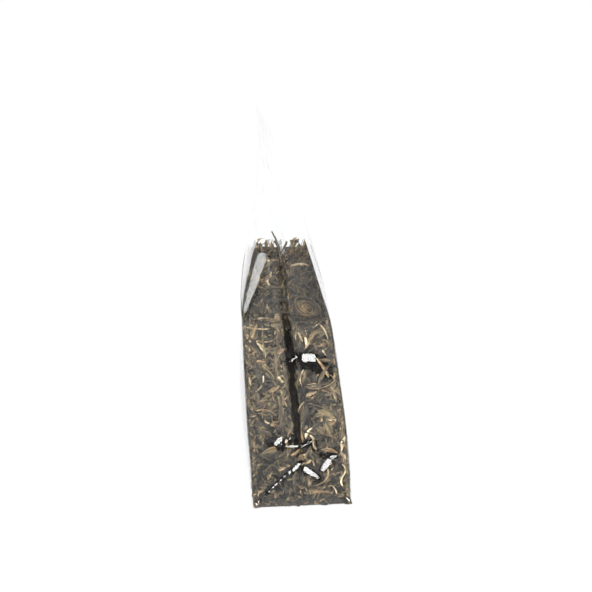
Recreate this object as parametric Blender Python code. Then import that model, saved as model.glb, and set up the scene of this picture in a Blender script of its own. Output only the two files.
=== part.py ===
"""A clear side-gusset bag of loose leaf tea, standing on its block bottom.

Metres, +Z up. The origin is the middle of the base, X runs across the two gusset sides and
Y along the two wide panels. The -Y gusset is the near one, the -X panel is the front.
The bag is one folded sheet of film. Inside it stands the packed tea, and between the tea
and the film lie single leaves and stems.
"""

import math
import random

import bmesh
import bpy
from mathutils import Vector, noise

# Driving dimensions of the bag
BASE_DEPTH = 0.060  # across a gusset side, along X
BASE_WIDTH = 0.100  # along a wide panel, along Y
BAG_HEIGHT = 0.228
SEAL_HEIGHT = 0.011
SEAL_TOP_X = -0.0212  # the seal leans over the front half of the base
SEAL_FOOT_X = -0.0196
FILM = 0.00025  # wall of the film
FOLD = 0.0006  # width of a fold, between the middles of its two layers
SEAM_WIDTH = 0.010  # lap seam up the back panel
FRONT_BULGE = 0.0025
BACK_BULGE = 0.0012
PILLOW = 0.0014  # swell of the gusset on each side of its crease
CREASE_HALF = 0.0021  # half width of the pulled-in gusset crease
GUSSET_REACH = 0.0035  # the panels bend this far before and after the gusset ends

# Driving dimensions of the tea
FILL_HEIGHT = 0.124
LEAF_LAYER = 0.0024  # from the film's middle in to the packed tea
RELIEF = 0.0010  # lumps of the packed tea
LUMP_FINE = 0.0038  # size of its lumps
LUMP_BROAD = 0.011
TOP_RELIEF = 0.0003
CLEARANCE = 0.0004
HEAP_RISE = 0.003  # the packed tea stands this much higher in the middle
HEAP_FLANK = 1.25  # how wide its slope is
SPACING = 0.0006  # least room between leaves that lie side by side
STEM_GIRTH = 0.0013  # the forked stem on top of the heap
STEM_RISE = 0.022
STEM_BOW = 0.0022
STEM_LEAN = (-0.003, 0.006, 0.0)
TWIG = (0.0042, 0.002, 0.0075)  # its side twig, root to tip
SEED = 11

SEAL_FOOT = BAG_HEIGHT - SEAL_HEIGHT
HALF_DEPTH = BASE_DEPTH / 2  # a gusset half, and the height of its 45 degree base folds
HALF_WIDTH = BASE_WIDTH / 2
CORNER = FOLD * math.sqrt(0.5)
CREASE_START = 0.8 * HALF_DEPTH
CREASE_FULL = 1.3 * HALF_DEPTH
LEAF_THICKNESS = LEAF_LAYER - FILM / 2 - 2 * CLEARANCE

# Side profiles: share of the height up to the seal, share of the way from the base edge
# to the seal
BACK_PROFILE = (
    (0.0, 0.0), (0.207, 0.076), (0.396, 0.183), (0.553, 0.287), (0.654, 0.411),
    (0.783, 0.573), (0.853, 0.688), (0.922, 0.828), (0.968, 0.914), (1.0, 1.0),
)
FRONT_NEAR_PROFILE = (
    (0.0, 0.0), (0.11, 0.02), (0.23, -0.126), (0.346, -0.23), (0.493, -0.326),
    (0.613, -0.337), (0.69, -0.053), (0.76, 0.274), (0.797, 0.526), (0.866, 0.568),
    (1.0, 1.0),
)
FRONT_FAR_PROFILE = (
    (0.0, 0.0), (0.13, -0.18), (0.313, -0.095), (0.412, 0.105), (0.512, 0.337),
    (0.604, 0.61), (0.719, 1.0), (0.839, 1.41), (0.922, 1.32), (1.0, 1.0),
)
FRONT_SWELL = ((0.0, 0.0), (0.15, 0.8), (0.4, 1.0), (0.8, 1.0), (0.93, 0.6), (1.0, 0.0))
BACK_SWELL = ((0.0, 0.0), (0.15, 1.0), (0.5, 0.8), (0.6, 0.2), (0.7, 0.0), (1.0, 0.0))

BED_PANEL_SHARES = (0.12, 0.25, 0.38, 0.5, 0.62, 0.75, 0.88)
HEAP_RINGS = (0.82, 0.6, 0.35, 0.12)  # the heap's top, as shares of its rim
TOP_SHARE_X = 0.6  # the heap's top that leaves lie on, as shares of the base
TOP_SHARE_Y = 0.7

# Steps of the film's mesh
FOLD_STEPS = 4  # levels up the base folds
FILL_STEPS = 7  # levels from there to the top of the tea
HEAD_STEPS = 9  # levels from the tea to the seal
BED_STEPS = 16
LEAF_RINGS = 6

NEAR = -1
FAR = 1


def mix(a, b, t):
    """The value t of the way from a to b."""
    return a + (b - a) * t


def clamp(value, low=0.0, high=1.0):
    """The value, held between low and high."""
    return min(max(value, low), high)


def smooth_step(t):
    """A soft rise from 0 to 1."""
    t = clamp(t)
    return t * t * (3 - 2 * t)


def read_profile(profile, share):
    """A smooth curve through the profile's points, read at a share of the height."""
    share = clamp(share)
    last = len(profile) - 2
    i = next((k for k in range(last + 1) if share <= profile[k + 1][0]), last)

    def slope(k):
        low, high = profile[max(k - 1, 0)], profile[min(k + 1, last + 1)]
        return (high[1] - low[1]) / (high[0] - low[0])

    (x0, y0), (x1, y1) = profile[i], profile[i + 1]
    span = x1 - x0
    t = (share - x0) / span
    return (
        y0 * (2 * t**3 - 3 * t**2 + 1)
        + slope(i) * span * (t**3 - 2 * t**2 + t)
        + y1 * (3 * t**2 - 2 * t**3)
        + slope(i + 1) * span * (t**3 - t**2)
    )


# The bag's form

def seal_x(z):
    """Middle of the leaning seal at a height."""
    return mix(SEAL_FOOT_X, SEAL_TOP_X, clamp((z - SEAL_FOOT) / SEAL_HEIGHT))


def back_edge(z):
    """X of the back panel's edges."""
    share = read_profile(BACK_PROFILE, z / SEAL_FOOT)
    return mix(HALF_DEPTH, seal_x(z) + 1.5 * FOLD, share)


def front_edge(z, end):
    """X of the front panel's edge at the near or the far gusset."""
    profile = FRONT_NEAR_PROFILE if end == NEAR else FRONT_FAR_PROFILE
    share = read_profile(profile, z / SEAL_FOOT)
    return mix(-HALF_DEPTH, seal_x(z) - 1.5 * FOLD, share)


def openness(z):
    """1 where the tea holds the bag open, 0 at the seal, where the gussets lie flat."""
    return 1 - smooth_step((z - FILL_HEIGHT) / (SEAL_FOOT - FILL_HEIGHT))


def crease_lip(z, half):
    """Share of a gusset half, from its corner, where the crease begins."""
    widest = 1 - CREASE_HALF / half if half > 3 * CREASE_HALF else 2 / 3
    if z < HALF_DEPTH:
        return max(0.1, widest * z / HALF_DEPTH)
    return mix(0.3, widest, openness(z))


def crease_depth(z, half, lip):
    """How far the crease goes in: what is left of the gusset half's own width.

    Below the point where the base folds meet, the gusset is flat.
    """
    rest = HALF_DEPTH - lip * half
    begun = smooth_step((z - CREASE_START) / (CREASE_FULL - CREASE_START))
    return begun * math.sqrt(max(rest**2 - ((1 - lip) * half) ** 2, 0.0))


def pillow(z, u, lip):
    """Swell of the gusset between its corner and the crease, where tea presses on it."""
    rise = math.sin(math.pi * clamp(z / (1.06 * FILL_HEIGHT)))
    return PILLOW * rise * math.sin(math.pi * clamp(u / lip))


def gusset_half(z, end):
    """(front edge, crease middle, half width, lip, depth) of a gusset at a height."""
    front = front_edge(z, end)
    middle = (front + back_edge(z)) / 2
    half = middle - front
    lip = crease_lip(z, half)
    return front, middle, half, lip, crease_depth(z, half, lip)


def gusset_inward(z, u, lip, depth):
    """How far in from the base's edge the film stands, u of the way to the crease."""
    opened = openness(z)
    pulled = clamp((u - lip) / (1 - lip))
    return depth * ((1 - opened) * u + opened * pulled) - pillow(z, u, lip)


def gusset_line(z, end):
    """The film's middle across one gusset, from the front corner to the back corner."""
    front, middle, half, lip, depth = gusset_half(z, end)
    opened = openness(z)
    start = front + mix(FOLD, CORNER, opened)
    shares = [lip * k / 3 for k in range(4)] + [mix(lip, 1, k / 3) for k in (1, 2, 3)]
    line = []
    for u in shares:
        inward = gusset_inward(z, u, lip, depth)
        line.append((mix(start, middle - FOLD / 2, u), inward))
    line += [(2 * middle - x, inward) for x, inward in reversed(line)]
    return [(x, end * (HALF_WIDTH - inward)) for x, inward in line]


def panel_shares():
    """Where the wide panels are divided, as shares from the near to the far corner."""
    over_gusset = (HALF_DEPTH - GUSSET_REACH) / BASE_WIDTH
    past_gusset = (HALF_DEPTH + GUSSET_REACH) / BASE_WIDTH
    first = [0.0, 0.05, 0.14, over_gusset, past_gusset]
    return first + [1 - s for s in reversed(first)]


def panel_x(z, share, back):
    """The film's middle on a wide panel, share of the way from near to far."""
    swell = 4 * share * (1 - share)
    if back:
        bulge = BACK_BULGE * read_profile(BACK_SWELL, z / SEAL_FOOT)
        x = back_edge(z) + bulge * swell
    else:
        bulge = FRONT_BULGE * read_profile(FRONT_SWELL, z / SEAL_FOOT)
        x = mix(front_edge(z, NEAR), front_edge(z, FAR), share) - bulge * swell
    between_gussets = abs(share - 0.5) * BASE_WIDTH < HALF_WIDTH - HALF_DEPTH
    if z >= SEAL_FOOT and between_gussets:
        side = 1 if back else -1
        x = seal_x(z) + side * FOLD / 2
    return x


def panel_line(z, back):
    """The film's middle along a wide panel, near to far, with its lap seam's lines.

    Each point is (x, y, seam): seam is 1 on the lap seam, which is one more layer thick.
    """
    opened = openness(z)
    line = []
    for share in panel_shares():
        y = mix(-HALF_WIDTH, HALF_WIDTH, share)
        if share in (0.0, 1.0):
            y -= math.copysign(CORNER * opened, y)
        line.append((panel_x(z, share, back), y, 0))
    if back:
        edge = SEAM_WIDTH / 2
        x = panel_x(z, 0.5, back)
        seam = [(-edge - FILM, 0), (-edge, 1), (edge, 1), (edge + FILM, 0)]
        middle = len(line) // 2
        line[middle:middle] = [(x, y, raised) for y, raised in seam]
    return line


def bag_ring(z):
    """The film's middle round the bag, seen from above, against the clock."""
    near = [(x, y, 0) for x, y in gusset_line(z, NEAR)]
    far = [(x, y, 0) for x, y in reversed(gusset_line(z, FAR))]
    back = panel_line(z, True)
    front = list(reversed(panel_line(z, False)))
    return near + back + far + front


def outward(ring):
    """For each point of a ring, the step outwards that moves both its sides by 1."""
    steps = []
    for i, here in enumerate(ring):
        before, after = ring[i - 1], ring[(i + 1) % len(ring)]
        a = Vector((here[0] - before[0], here[1] - before[1])).normalized()
        b = Vector((after[0] - here[0], after[1] - here[1])).normalized()
        normal = Vector((a.y + b.y, -a.x - b.x)).normalized()
        steps.append(normal / max(normal.dot(Vector((a.y, -a.x))), 0.5))
    return steps


def bag_levels():
    """Heights of the film's rings."""
    folds = [HALF_DEPTH * k / FOLD_STEPS for k in range(FOLD_STEPS)]
    fill = [mix(HALF_DEPTH, FILL_HEIGHT, k / FILL_STEPS) for k in range(FILL_STEPS)]
    head = [mix(FILL_HEIGHT, SEAL_FOOT, k / HEAD_STEPS) for k in range(HEAD_STEPS)]
    return folds + fill + head + [SEAL_FOOT, BAG_HEIGHT]


# Mesh helpers

def add_object(name, bm, material, smooth=False):
    """Puts a finished mesh into the scene under its own name."""
    bmesh.ops.recalc_face_normals(bm, faces=bm.faces)
    mesh = bpy.data.meshes.new(name)
    bm.to_mesh(mesh)
    bm.free()
    mesh.materials.append(material)
    if smooth:
        mesh.shade_smooth()
        mesh.set_sharp_from_angle(angle=math.radians(35))
    thing = bpy.data.objects.new(name, mesh)
    bpy.context.collection.objects.link(thing)
    return thing


def add_material(name, colour, roughness, alpha=1.0):
    """A plain finish."""
    material = bpy.data.materials.new(name)
    material.use_nodes = True
    shader = material.node_tree.nodes["Principled BSDF"]
    shader.inputs["Base Color"].default_value = (*colour, 1)
    shader.inputs["Roughness"].default_value = roughness
    shader.inputs["Alpha"].default_value = alpha
    return material


def join_on(thing, helper):
    """Makes a helper mesh part of a thing, and leaves the helper itself out."""
    join = thing.modifiers.new(helper.name, "BOOLEAN")
    join.operation = "UNION"
    join.solver = "EXACT"
    join.object = helper
    helper.hide_render = True
    helper.hide_viewport = True
    helper.display_type = "WIRE"


def bridge(bm, low, high):
    """Quads between two rings of vertices that have as many points each."""
    for i in range(len(low)):
        j = (i + 1) % len(low)
        bm.faces.new((low[i], low[j], high[j], high[i]))


# The film bag

def make_bag(material):
    """One folded sheet: base, two panels, two gussets, lap seam and the seal's layers."""
    bm = bmesh.new()
    outer, inner = [], []
    for z in bag_levels():
        ring = bag_ring(z)
        steps = outward(ring)
        out_row, in_row = [], []
        for (x, y, raised), step in zip(ring, steps):
            lift = FILM / 2 + raised * FILM
            out_row.append(bm.verts.new((x + step.x * lift, y + step.y * lift, z)))
            inside = FILM if z == 0 else z
            in_row.append(
                bm.verts.new((x - step.x * FILM / 2, y - step.y * FILM / 2, inside))
            )
        outer.append(out_row)
        inner.append(in_row)
    for rows in (outer, inner):
        for low, high in zip(rows, rows[1:]):
            bridge(bm, low, high)
        bm.faces.new(rows[0])
    bridge(bm, outer[-1], inner[-1])
    return add_object("film_bag", bm, material)


# The packed tea

def bed_ring(z, margin):
    """Outline of what lies the margin inside the film, with a groove at each crease."""
    groove = margin * 0.8
    ring = []
    for end in (NEAR, FAR):
        front, middle, half, lip, depth = gusset_half(z, end)
        lip_x = CREASE_HALF + margin * 1.2
        flat = half - margin - lip_x
        line = []
        for k in range(4):
            from_corner = margin + flat * k / 3
            swell = pillow(z, from_corner / half, lip) if 0 < k < 3 else 0.0
            line.append((front + from_corner, margin - swell))
        line.append((middle - groove, margin + depth))
        line += [(2 * middle - x, inward) for x, inward in reversed(line)]
        points = [(x, end * (HALF_WIDTH - inward)) for x, inward in line]
        panel = []
        for share in BED_PANEL_SHARES:
            side = -1 if end == FAR else 1
            x = panel_x(z, share, end == NEAR) - side * margin
            panel.append((x, mix(-HALF_WIDTH, HALF_WIDTH, share)))
        if end == FAR:
            points.reverse()
            panel.reverse()
        ring += points + panel
    return ring


def bed_top():
    """Height of the packed tea at its rim."""
    return FILL_HEIGHT - LEAF_LAYER - HEAP_RISE


def lump(x, y, z):
    """A value from 0 to 1 that wanders over the tea's surface."""
    fine = noise.noise(Vector((x, y, z)) / LUMP_FINE)
    broad = noise.noise(Vector((y, z, x)) / LUMP_BROAD)
    return clamp(0.5 + 0.45 * fine + 0.35 * broad)


def make_bed():
    """The packed tea's own lumpy body, before its leaves are added."""
    bm = bmesh.new()
    rows = []
    foot = FILM + CLEARANCE
    for k in range(BED_STEPS + 1):
        z = mix(foot, bed_top(), k / BED_STEPS)
        ring = bed_ring(z, LEAF_LAYER)
        row = []
        for (x, y), step in zip(ring, outward(ring)):
            inward = RELIEF * lump(x, y, z)
            row.append(bm.verts.new((x - step.x * inward, y - step.y * inward, z)))
        rows.append(row)
    for low, high in zip(rows, rows[1:]):
        bridge(bm, low, high)
    bm.faces.new(rows[0])
    ring = bed_ring(bed_top(), LEAF_LAYER)
    rim = rows[-1]
    heart = Vector((sum(p[0] for p in ring), sum(p[1] for p in ring))) / len(ring)
    for inset in HEAP_RINGS:
        row = []
        for x, y in ring:
            px, py = mix(heart.x, x, inset * 0.85), y * inset
            z = heap_height(px, py) - TOP_RELIEF * lump(px, py, 1.0)
            row.append(bm.verts.new((px, py, z)))
        bridge(bm, rim, row)
        rim = row
    bm.faces.new(rim)
    return bm


def heap_height(x, y):
    """Height of the heap's top, which is level near its rim and higher in the middle."""
    middle = (front_edge(bed_top(), NEAR) + back_edge(bed_top())) / 2
    half = back_edge(bed_top()) - middle
    away = max(abs(x - middle) / half, abs(y) / HALF_WIDTH)
    return bed_top() + HEAP_RISE * smooth_step(HEAP_FLANK * (1 - away))


# Faces that leaves lie on. Each turns (u, v, depth) into a point: u runs across, v up, and
# depth is measured in from the film's middle

def on_near_front(u, v, depth):
    """The near gusset between the front corner and the crease."""
    return on_gusset(u, v, depth, NEAR, False)


def on_near_back(u, v, depth):
    """The near gusset between the crease and the back corner."""
    return on_gusset(u, v, depth, NEAR, True)


def on_far_front(u, v, depth):
    """The far gusset between the front corner and the crease."""
    return on_gusset(u, v, depth, FAR, False)


def on_far_back(u, v, depth):
    """The far gusset between the crease and the back corner."""
    return on_gusset(u, v, depth, FAR, True)


def on_gusset(u, v, depth, end, back):
    """A point on one half of a gusset. u is 0 at the front edge of that half."""
    z = v * FILL_HEIGHT
    front, middle, half, lip, _ = gusset_half(z, end)
    clear = LEAF_LAYER + SPACING
    room = half - 2 * clear - CREASE_HALF
    from_corner = clear + room * ((1 - u) if back else u)
    x = back_edge(z) - from_corner if back else front + from_corner
    inward = depth - pillow(z, from_corner / half, lip)
    return Vector((x, end * (HALF_WIDTH - inward), z))


def on_front(u, v, depth):
    """The front panel, near to far."""
    return on_panel(u, v, depth, False)


def on_back(u, v, depth):
    """The back panel, near to far."""
    return on_panel(u, v, depth, True)


def on_panel(u, v, depth, back):
    """A point on a wide panel."""
    z = v * FILL_HEIGHT
    clear = (LEAF_LAYER + SPACING) / BASE_WIDTH
    share = mix(clear, 1 - clear, u)
    side = 1 if back else -1
    y = mix(-HALF_WIDTH, HALF_WIDTH, share)
    return Vector((panel_x(z, share, back) - side * depth, y, z))


def on_top(u, v, depth):
    """The heap's top, u front to back and v near to far, where depth rises from it."""
    z = bed_top()
    clear = 2 * LEAF_LAYER
    _, _, _, _, groove = gusset_half(z, NEAR)
    y = mix(-1, 1, v) * (HALF_WIDTH - groove - clear)
    front = mix(front_edge(z, NEAR), front_edge(z, FAR), (y + HALF_WIDTH) / BASE_WIDTH)
    x = mix(front + clear, back_edge(z) - clear, u)
    return Vector((x, y, heap_height(x, y) + LEAF_LAYER - depth))


FACES = {
    "near_front": on_near_front,
    "near_back": on_near_back,
    "far_front": on_far_front,
    "far_back": on_far_back,
    "front": on_front,
    "back": on_back,
    "top": on_top,
}


# Leaves

def bend_path(face, ends, depth, count):
    """Points along a bent line on a face, through three (u, v) points of its curve."""
    (u0, v0), (u1, v1), (u2, v2) = ends
    points = []
    for k in range(count):
        t = k / (count - 1)
        a, b, c = (1 - t) ** 2, 2 * t * (1 - t), t**2
        u, v = a * u0 + b * u1 + c * u2, a * v0 + b * v1 + c * v2
        points.append(FACES[face](u, v, depth))
    return points


def face_normal(face, u, v):
    """Direction from the film into the bag at a point of a face."""
    step = LEAF_LAYER
    return (FACES[face](u, v, step) - FACES[face](u, v, 0.0)).normalized()


def leaf_body(bm, points, inward, width, outer, inner, tip=0.25):
    """A pointed leaf: a diamond section that swells and narrows along its line.

    outer and inner are how far it reaches from its line towards the film and the tea.
    """
    count = len(points)
    rows = []
    for k, point in enumerate(points):
        along = (points[min(k + 1, count - 1)] - points[max(k - 1, 0)]).normalized()
        across = along.cross(inward).normalized()
        share = k / (count - 1)
        swell = mix(tip, 1.0, math.sin(math.pi * share) ** 0.6)
        side = across * (width / 2 * swell)
        low, high = inward * (inner * swell), inward * (outer * swell)
        corners = (point - side, point - high, point + side, point + low)
        rows.append([bm.verts.new(corner) for corner in corners])
    for first, second in zip(rows, rows[1:]):
        bridge(bm, first, second)
    bm.faces.new(rows[0])
    bm.faces.new(rows[-1])


def make_leaf(name, face, ends, width, material):
    """A single leaf or stem between the film and the packed tea."""
    depth = FILM / 2 + CLEARANCE + LEAF_THICKNESS / 2
    middle = ends[1]
    inward = face_normal(face, *middle)
    points = bend_path(face, ends, depth, LEAF_RINGS)
    bm = bmesh.new()
    reach = LEAF_THICKNESS / 2
    leaf_body(bm, points, inward, width, reach, reach)
    return add_object(name, bm, material)


def make_rolled_leaf(name, face, centre, radius, width, material):
    """A leaf rolled into an open ring that lies flat against the film."""
    depth = FILM / 2 + CLEARANCE + LEAF_THICKNESS / 2
    u, v = centre
    inward = face_normal(face, u, v)
    middle = FACES[face](u, v, depth)
    points = []
    turn, start, steps = math.radians(300), math.radians(35), 13
    for k in range(steps):
        angle = start + turn * k / (steps - 1)
        offset = Vector((math.cos(angle), 0.0, math.sin(angle))) * radius
        points.append(middle + offset)
    bm = bmesh.new()
    reach = LEAF_THICKNESS / 2 * 0.9
    leaf_body(bm, points, inward, width, reach, reach, tip=0.5)
    return add_object(name, bm, material)


def make_forked_stem(name, place, material):
    """A stem with a side twig that stands up from the heap's top."""
    u, v = place
    foot = on_top(u, v, LEAF_LAYER)
    foot.z += CLEARANCE
    side = Vector((0.0, -1.0, 0.0))
    stem = []
    for k in range(LEAF_RINGS):
        t = k / (LEAF_RINGS - 1)
        bow = Vector((STEM_BOW * math.sin(math.pi * t), 0.0, 0.0))
        rise = Vector((0.0, 0.0, STEM_RISE * t))
        stem.append(foot + Vector(STEM_LEAN) * t * t + rise + bow)
    bm = bmesh.new()
    leaf_body(bm, stem, side, STEM_GIRTH, STEM_GIRTH / 2, STEM_GIRTH / 2, tip=0.6)
    stem_object = add_object(name, bm, material)
    root = stem[LEAF_RINGS // 2 - 1]
    branch = [root + Vector(TWIG) * t for t in (0.0, 0.35, 0.7, 1.0)]
    bm = bmesh.new()
    leaf_body(bm, branch, side, STEM_GIRTH * 0.8, STEM_GIRTH / 3, STEM_GIRTH / 3, tip=0.5)
    join_on(stem_object, add_object(name + "_twig", bm, material))
    return stem_object


# Leaves and stems that can be told apart: name, face, the three points of its line as
# (share across, share of the fill height), width, finish
NAMED_LEAVES = (
    ("amber_stem_upright", "near_front", ((0.50, 0.98), (0.44, 0.90), (0.50, 0.79)), 0.0018, "amber"),
    ("tan_stem_upper", "near_front", ((0.02, 0.90), (0.18, 0.87), (0.36, 0.85)), 0.0016, "tan"),
    ("curved_cream_stem", "near_front", ((0.15, 0.66), (0.44, 0.67), (0.42, 0.76)), 0.0018, "cream"),
    ("orange_chip", "near_front", ((0.22, 0.60), (0.36, 0.60), (0.50, 0.61)), 0.0026, "amber"),
    ("tan_bud", "near_front", ((0.82, 0.72), (0.92, 0.71), (0.99, 0.68)), 0.0034, "tan"),
    ("khaki_leaf", "near_front", ((0.12, 0.29), (0.36, 0.34), (0.60, 0.33)), 0.0058, "khaki"),
    ("dark_twist_left", "near_front", ((0.05, 0.55), (0.30, 0.50), (0.52, 0.42)), 0.0042, "dark"),
    ("dark_twist_middle", "near_front", ((0.78, 0.62), (0.92, 0.54), (0.80, 0.44)), 0.0036, "brown"),
    ("green_curl_left", "near_front", ((0.72, 0.40), (0.96, 0.37), (0.88, 0.27)), 0.0030, "khaki"),
    ("reddish_strip", "near_back", ((0.02, 0.075), (0.30, 0.085), (0.56, 0.07)), 0.0024, "red"),
    ("broad_dark_leaf", "near_back", ((0.02, 0.985), (0.30, 0.975), (0.62, 0.985)), 0.0030, "dark"),
    ("small_tan_hook", "near_back", ((0.76, 0.985), (0.90, 0.95), (0.98, 0.90)), 0.0022, "tan"),
    ("brown_diagonal_leaf", "near_back", ((0.42, 0.66), (0.66, 0.73), (0.96, 0.79)), 0.0036, "red"),
    ("tan_flake", "near_back", ((0.86, 0.66), (0.94, 0.62), (0.97, 0.57)), 0.0024, "tan"),
    ("green_grey_leaf", "near_back", ((0.52, 0.50), (0.66, 0.44), (0.70, 0.385)), 0.0044, "khaki"),
    ("pinkish_brown_leaf", "near_back", ((0.36, 0.32), (0.62, 0.33), (0.86, 0.29)), 0.0034, "red"),
    ("pale_yellow_flake", "near_back", ((0.08, 0.40), (0.20, 0.37), (0.26, 0.32)), 0.0030, "cream"),
    ("cream_s_stem", "near_back", ((0.90, 0.24), (1.00, 0.17), (0.90, 0.11)), 0.0020, "cream"),
    ("front_long_leaf", "front", ((0.06, 0.86), (0.16, 0.72), (0.14, 0.56)), 0.0042, "dark"),
    ("front_tan_stem", "front", ((0.22, 0.20), (0.34, 0.34), (0.48, 0.38)), 0.0020, "tan"),
    ("front_olive_leaf", "front", ((0.30, 0.84), (0.42, 0.92), (0.56, 0.86)), 0.0050, "khaki"),
    ("front_brown_curl", "front", ((0.60, 0.62), (0.70, 0.74), (0.84, 0.66)), 0.0036, "brown"),
    ("front_cream_stem", "front", ((0.76, 0.24), (0.84, 0.36), (0.96, 0.40)), 0.0018, "cream"),
    ("front_red_leaf", "front", ((0.54, 0.10), (0.64, 0.20), (0.74, 0.08)), 0.0032, "red"),
    ("back_long_leaf", "back", ((0.10, 0.80), (0.24, 0.90), (0.40, 0.84)), 0.0044, "dark"),
    ("back_amber_stem", "back", ((0.10, 0.30), (0.20, 0.44), (0.16, 0.58)), 0.0018, "amber"),
    ("back_olive_leaf", "back", ((0.44, 0.60), (0.58, 0.52), (0.70, 0.60)), 0.0050, "khaki"),
    ("back_brown_curl", "back", ((0.74, 0.86), (0.88, 0.92), (0.96, 0.76)), 0.0036, "brown"),
    ("back_cream_stem", "back", ((0.52, 0.20), (0.66, 0.28), (0.76, 0.16)), 0.0020, "cream"),
    ("back_red_leaf", "back", ((0.28, 0.12), (0.34, 0.24), (0.44, 0.10)), 0.0034, "red"),
    ("far_dark_twist", "far_front", ((0.10, 0.84), (0.50, 0.76), (0.80, 0.86)), 0.0040, "dark"),
    ("far_tan_stem", "far_front", ((0.14, 0.30), (0.50, 0.38), (0.86, 0.32)), 0.0018, "tan"),
    ("far_khaki_leaf", "far_back", ((0.14, 0.62), (0.50, 0.54), (0.84, 0.60)), 0.0046, "khaki"),
    ("far_brown_leaf", "far_back", ((0.16, 0.24), (0.50, 0.18), (0.86, 0.26)), 0.0034, "brown"),
    ("top_tan_leaf_left", "top", ((0.10, 0.94), (0.30, 0.99), (0.48, 0.92)), 0.0050, "tan"),
    ("top_tan_leaf_right", "top", ((0.62, 0.80), (0.78, 0.88), (0.98, 0.84)), 0.0050, "tan"),
    ("top_grey_leaf", "top", ((0.10, 0.62), (0.34, 0.70), (0.52, 0.60)), 0.0054, "dark"),
    ("top_brown_leaf", "top", ((0.60, 0.52), (0.76, 0.60), (0.96, 0.54)), 0.0048, "brown"),
    ("top_long_stem", "top", ((0.12, 0.40), (0.46, 0.46), (0.90, 0.36)), 0.0018, "cream"),
    ("top_olive_leaf", "top", ((0.10, 0.20), (0.34, 0.28), (0.60, 0.20)), 0.0050, "khaki"),
    ("top_near_leaf", "top", ((0.16, 0.04), (0.50, 0.08), (0.86, 0.03)), 0.0044, "dark"),
)
ROLLED_LEAF = ("rolled_leaf", "near_back", (0.45, 0.885), 0.0042, 0.0028, "brown")
FORKED_STEM = ("forked_stem", (0.40, 0.80), "dark")

BED_LEAF_WIDTH = (0.0026, 0.0048)
BED_LEAF_LENGTH = (0.011, 0.021)
BED_LEAF_RISE = (0.04, 0.98)  # where they lie, as shares of the fill height
# Leaves that are one with the packed tea: face, how many
BED_LEAVES = (
    ("near_front", 12), ("near_back", 12), ("far_front", 10), ("far_back", 10),
    ("front", 28), ("back", 28), ("top", 12),
)

# Which sizes (u, v) run over on each face
GUSSET_HALF_SIZE = (HALF_DEPTH - 2 * (LEAF_LAYER + SPACING) - CREASE_HALF, FILL_HEIGHT)
PANEL_SIZE = (BASE_WIDTH - 2 * (LEAF_LAYER + SPACING), FILL_HEIGHT)
FACE_SIZES = {
    "near_front": GUSSET_HALF_SIZE, "near_back": GUSSET_HALF_SIZE,
    "far_front": GUSSET_HALF_SIZE, "far_back": GUSSET_HALF_SIZE,
    "front": PANEL_SIZE, "back": PANEL_SIZE,
    "top": (BASE_DEPTH * TOP_SHARE_X, BASE_WIDTH * TOP_SHARE_Y),
}


def keeps_clear(points, width, taken):
    """True if a leaf's points stay clear of every leaf already laid on the face."""
    for other, other_width in taken:
        room = (width + other_width) / 2 + SPACING
        for a in points:
            for b in other:
                if (a - b).length < room:
                    return False
    return True


def lay_bed_leaves(bm, taken):
    """Adds pointed leaves that are part of the packed tea, clear of the single leaves."""
    chance = random.Random(SEED)
    reach = LEAF_THICKNESS / 2
    for face, count in BED_LEAVES:
        across, up = FACE_SIZES[face]
        laid = 0
        for _ in range(count * 60):
            if laid == count:
                break
            width = chance.uniform(*BED_LEAF_WIDTH)
            length = chance.uniform(*BED_LEAF_LENGTH)
            angle = chance.uniform(0, math.pi)
            bend = chance.uniform(-0.25, 0.25)
            du, dv = length / 2 * math.cos(angle) / across, length / 2 * math.sin(angle) / up
            edge = width / 2
            margin_u, margin_v = abs(du) + edge / across, abs(dv) + edge / up
            if margin_u >= 0.5 or margin_v >= 0.46:
                continue
            u = chance.uniform(margin_u, 1 - margin_u)
            v = chance.uniform(margin_v + BED_LEAF_RISE[0], BED_LEAF_RISE[1] - margin_v)
            middle = (clamp(u - dv * bend), clamp(v + du * bend, *BED_LEAF_RISE))
            ends = ((u - du, v - dv), middle, (u + du, v + dv))
            points = bend_path(face, ends, LEAF_LAYER, LEAF_RINGS)
            if not keeps_clear(points, width, taken[face]):
                continue
            taken[face].append((points, width))
            inward = face_normal(face, *middle)
            leaf_body(bm, points, inward, width, reach, RELIEF + reach * 0.7, tip=0.45)
            laid += 1


def single_leaf_places():
    """Points and widths of the single leaves, by face."""
    taken = {face: [] for face in FACES}
    for _, face, ends, width, _ in NAMED_LEAVES:
        points = bend_path(face, ends, LEAF_LAYER, 2 * LEAF_RINGS)
        taken[face].append((points, width))
    _, face, (u, v), radius, width, _ = ROLLED_LEAF
    taken[face].append(([FACES[face](u, v, LEAF_LAYER)], 2 * radius + width))
    _, (u, v), _ = FORKED_STEM
    taken["top"].append(([on_top(u, v, LEAF_LAYER)], LEAF_LAYER))
    return taken


def make_tea(material):
    """The packed tea: its lumpy body and the leaves that are one with it."""
    leaves = bmesh.new()
    lay_bed_leaves(leaves, single_leaf_places())
    bed = add_object("tea_bed", make_bed(), material)
    join_on(bed, add_object("bed_leaf_shapes", leaves, material))
    return bed


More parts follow.
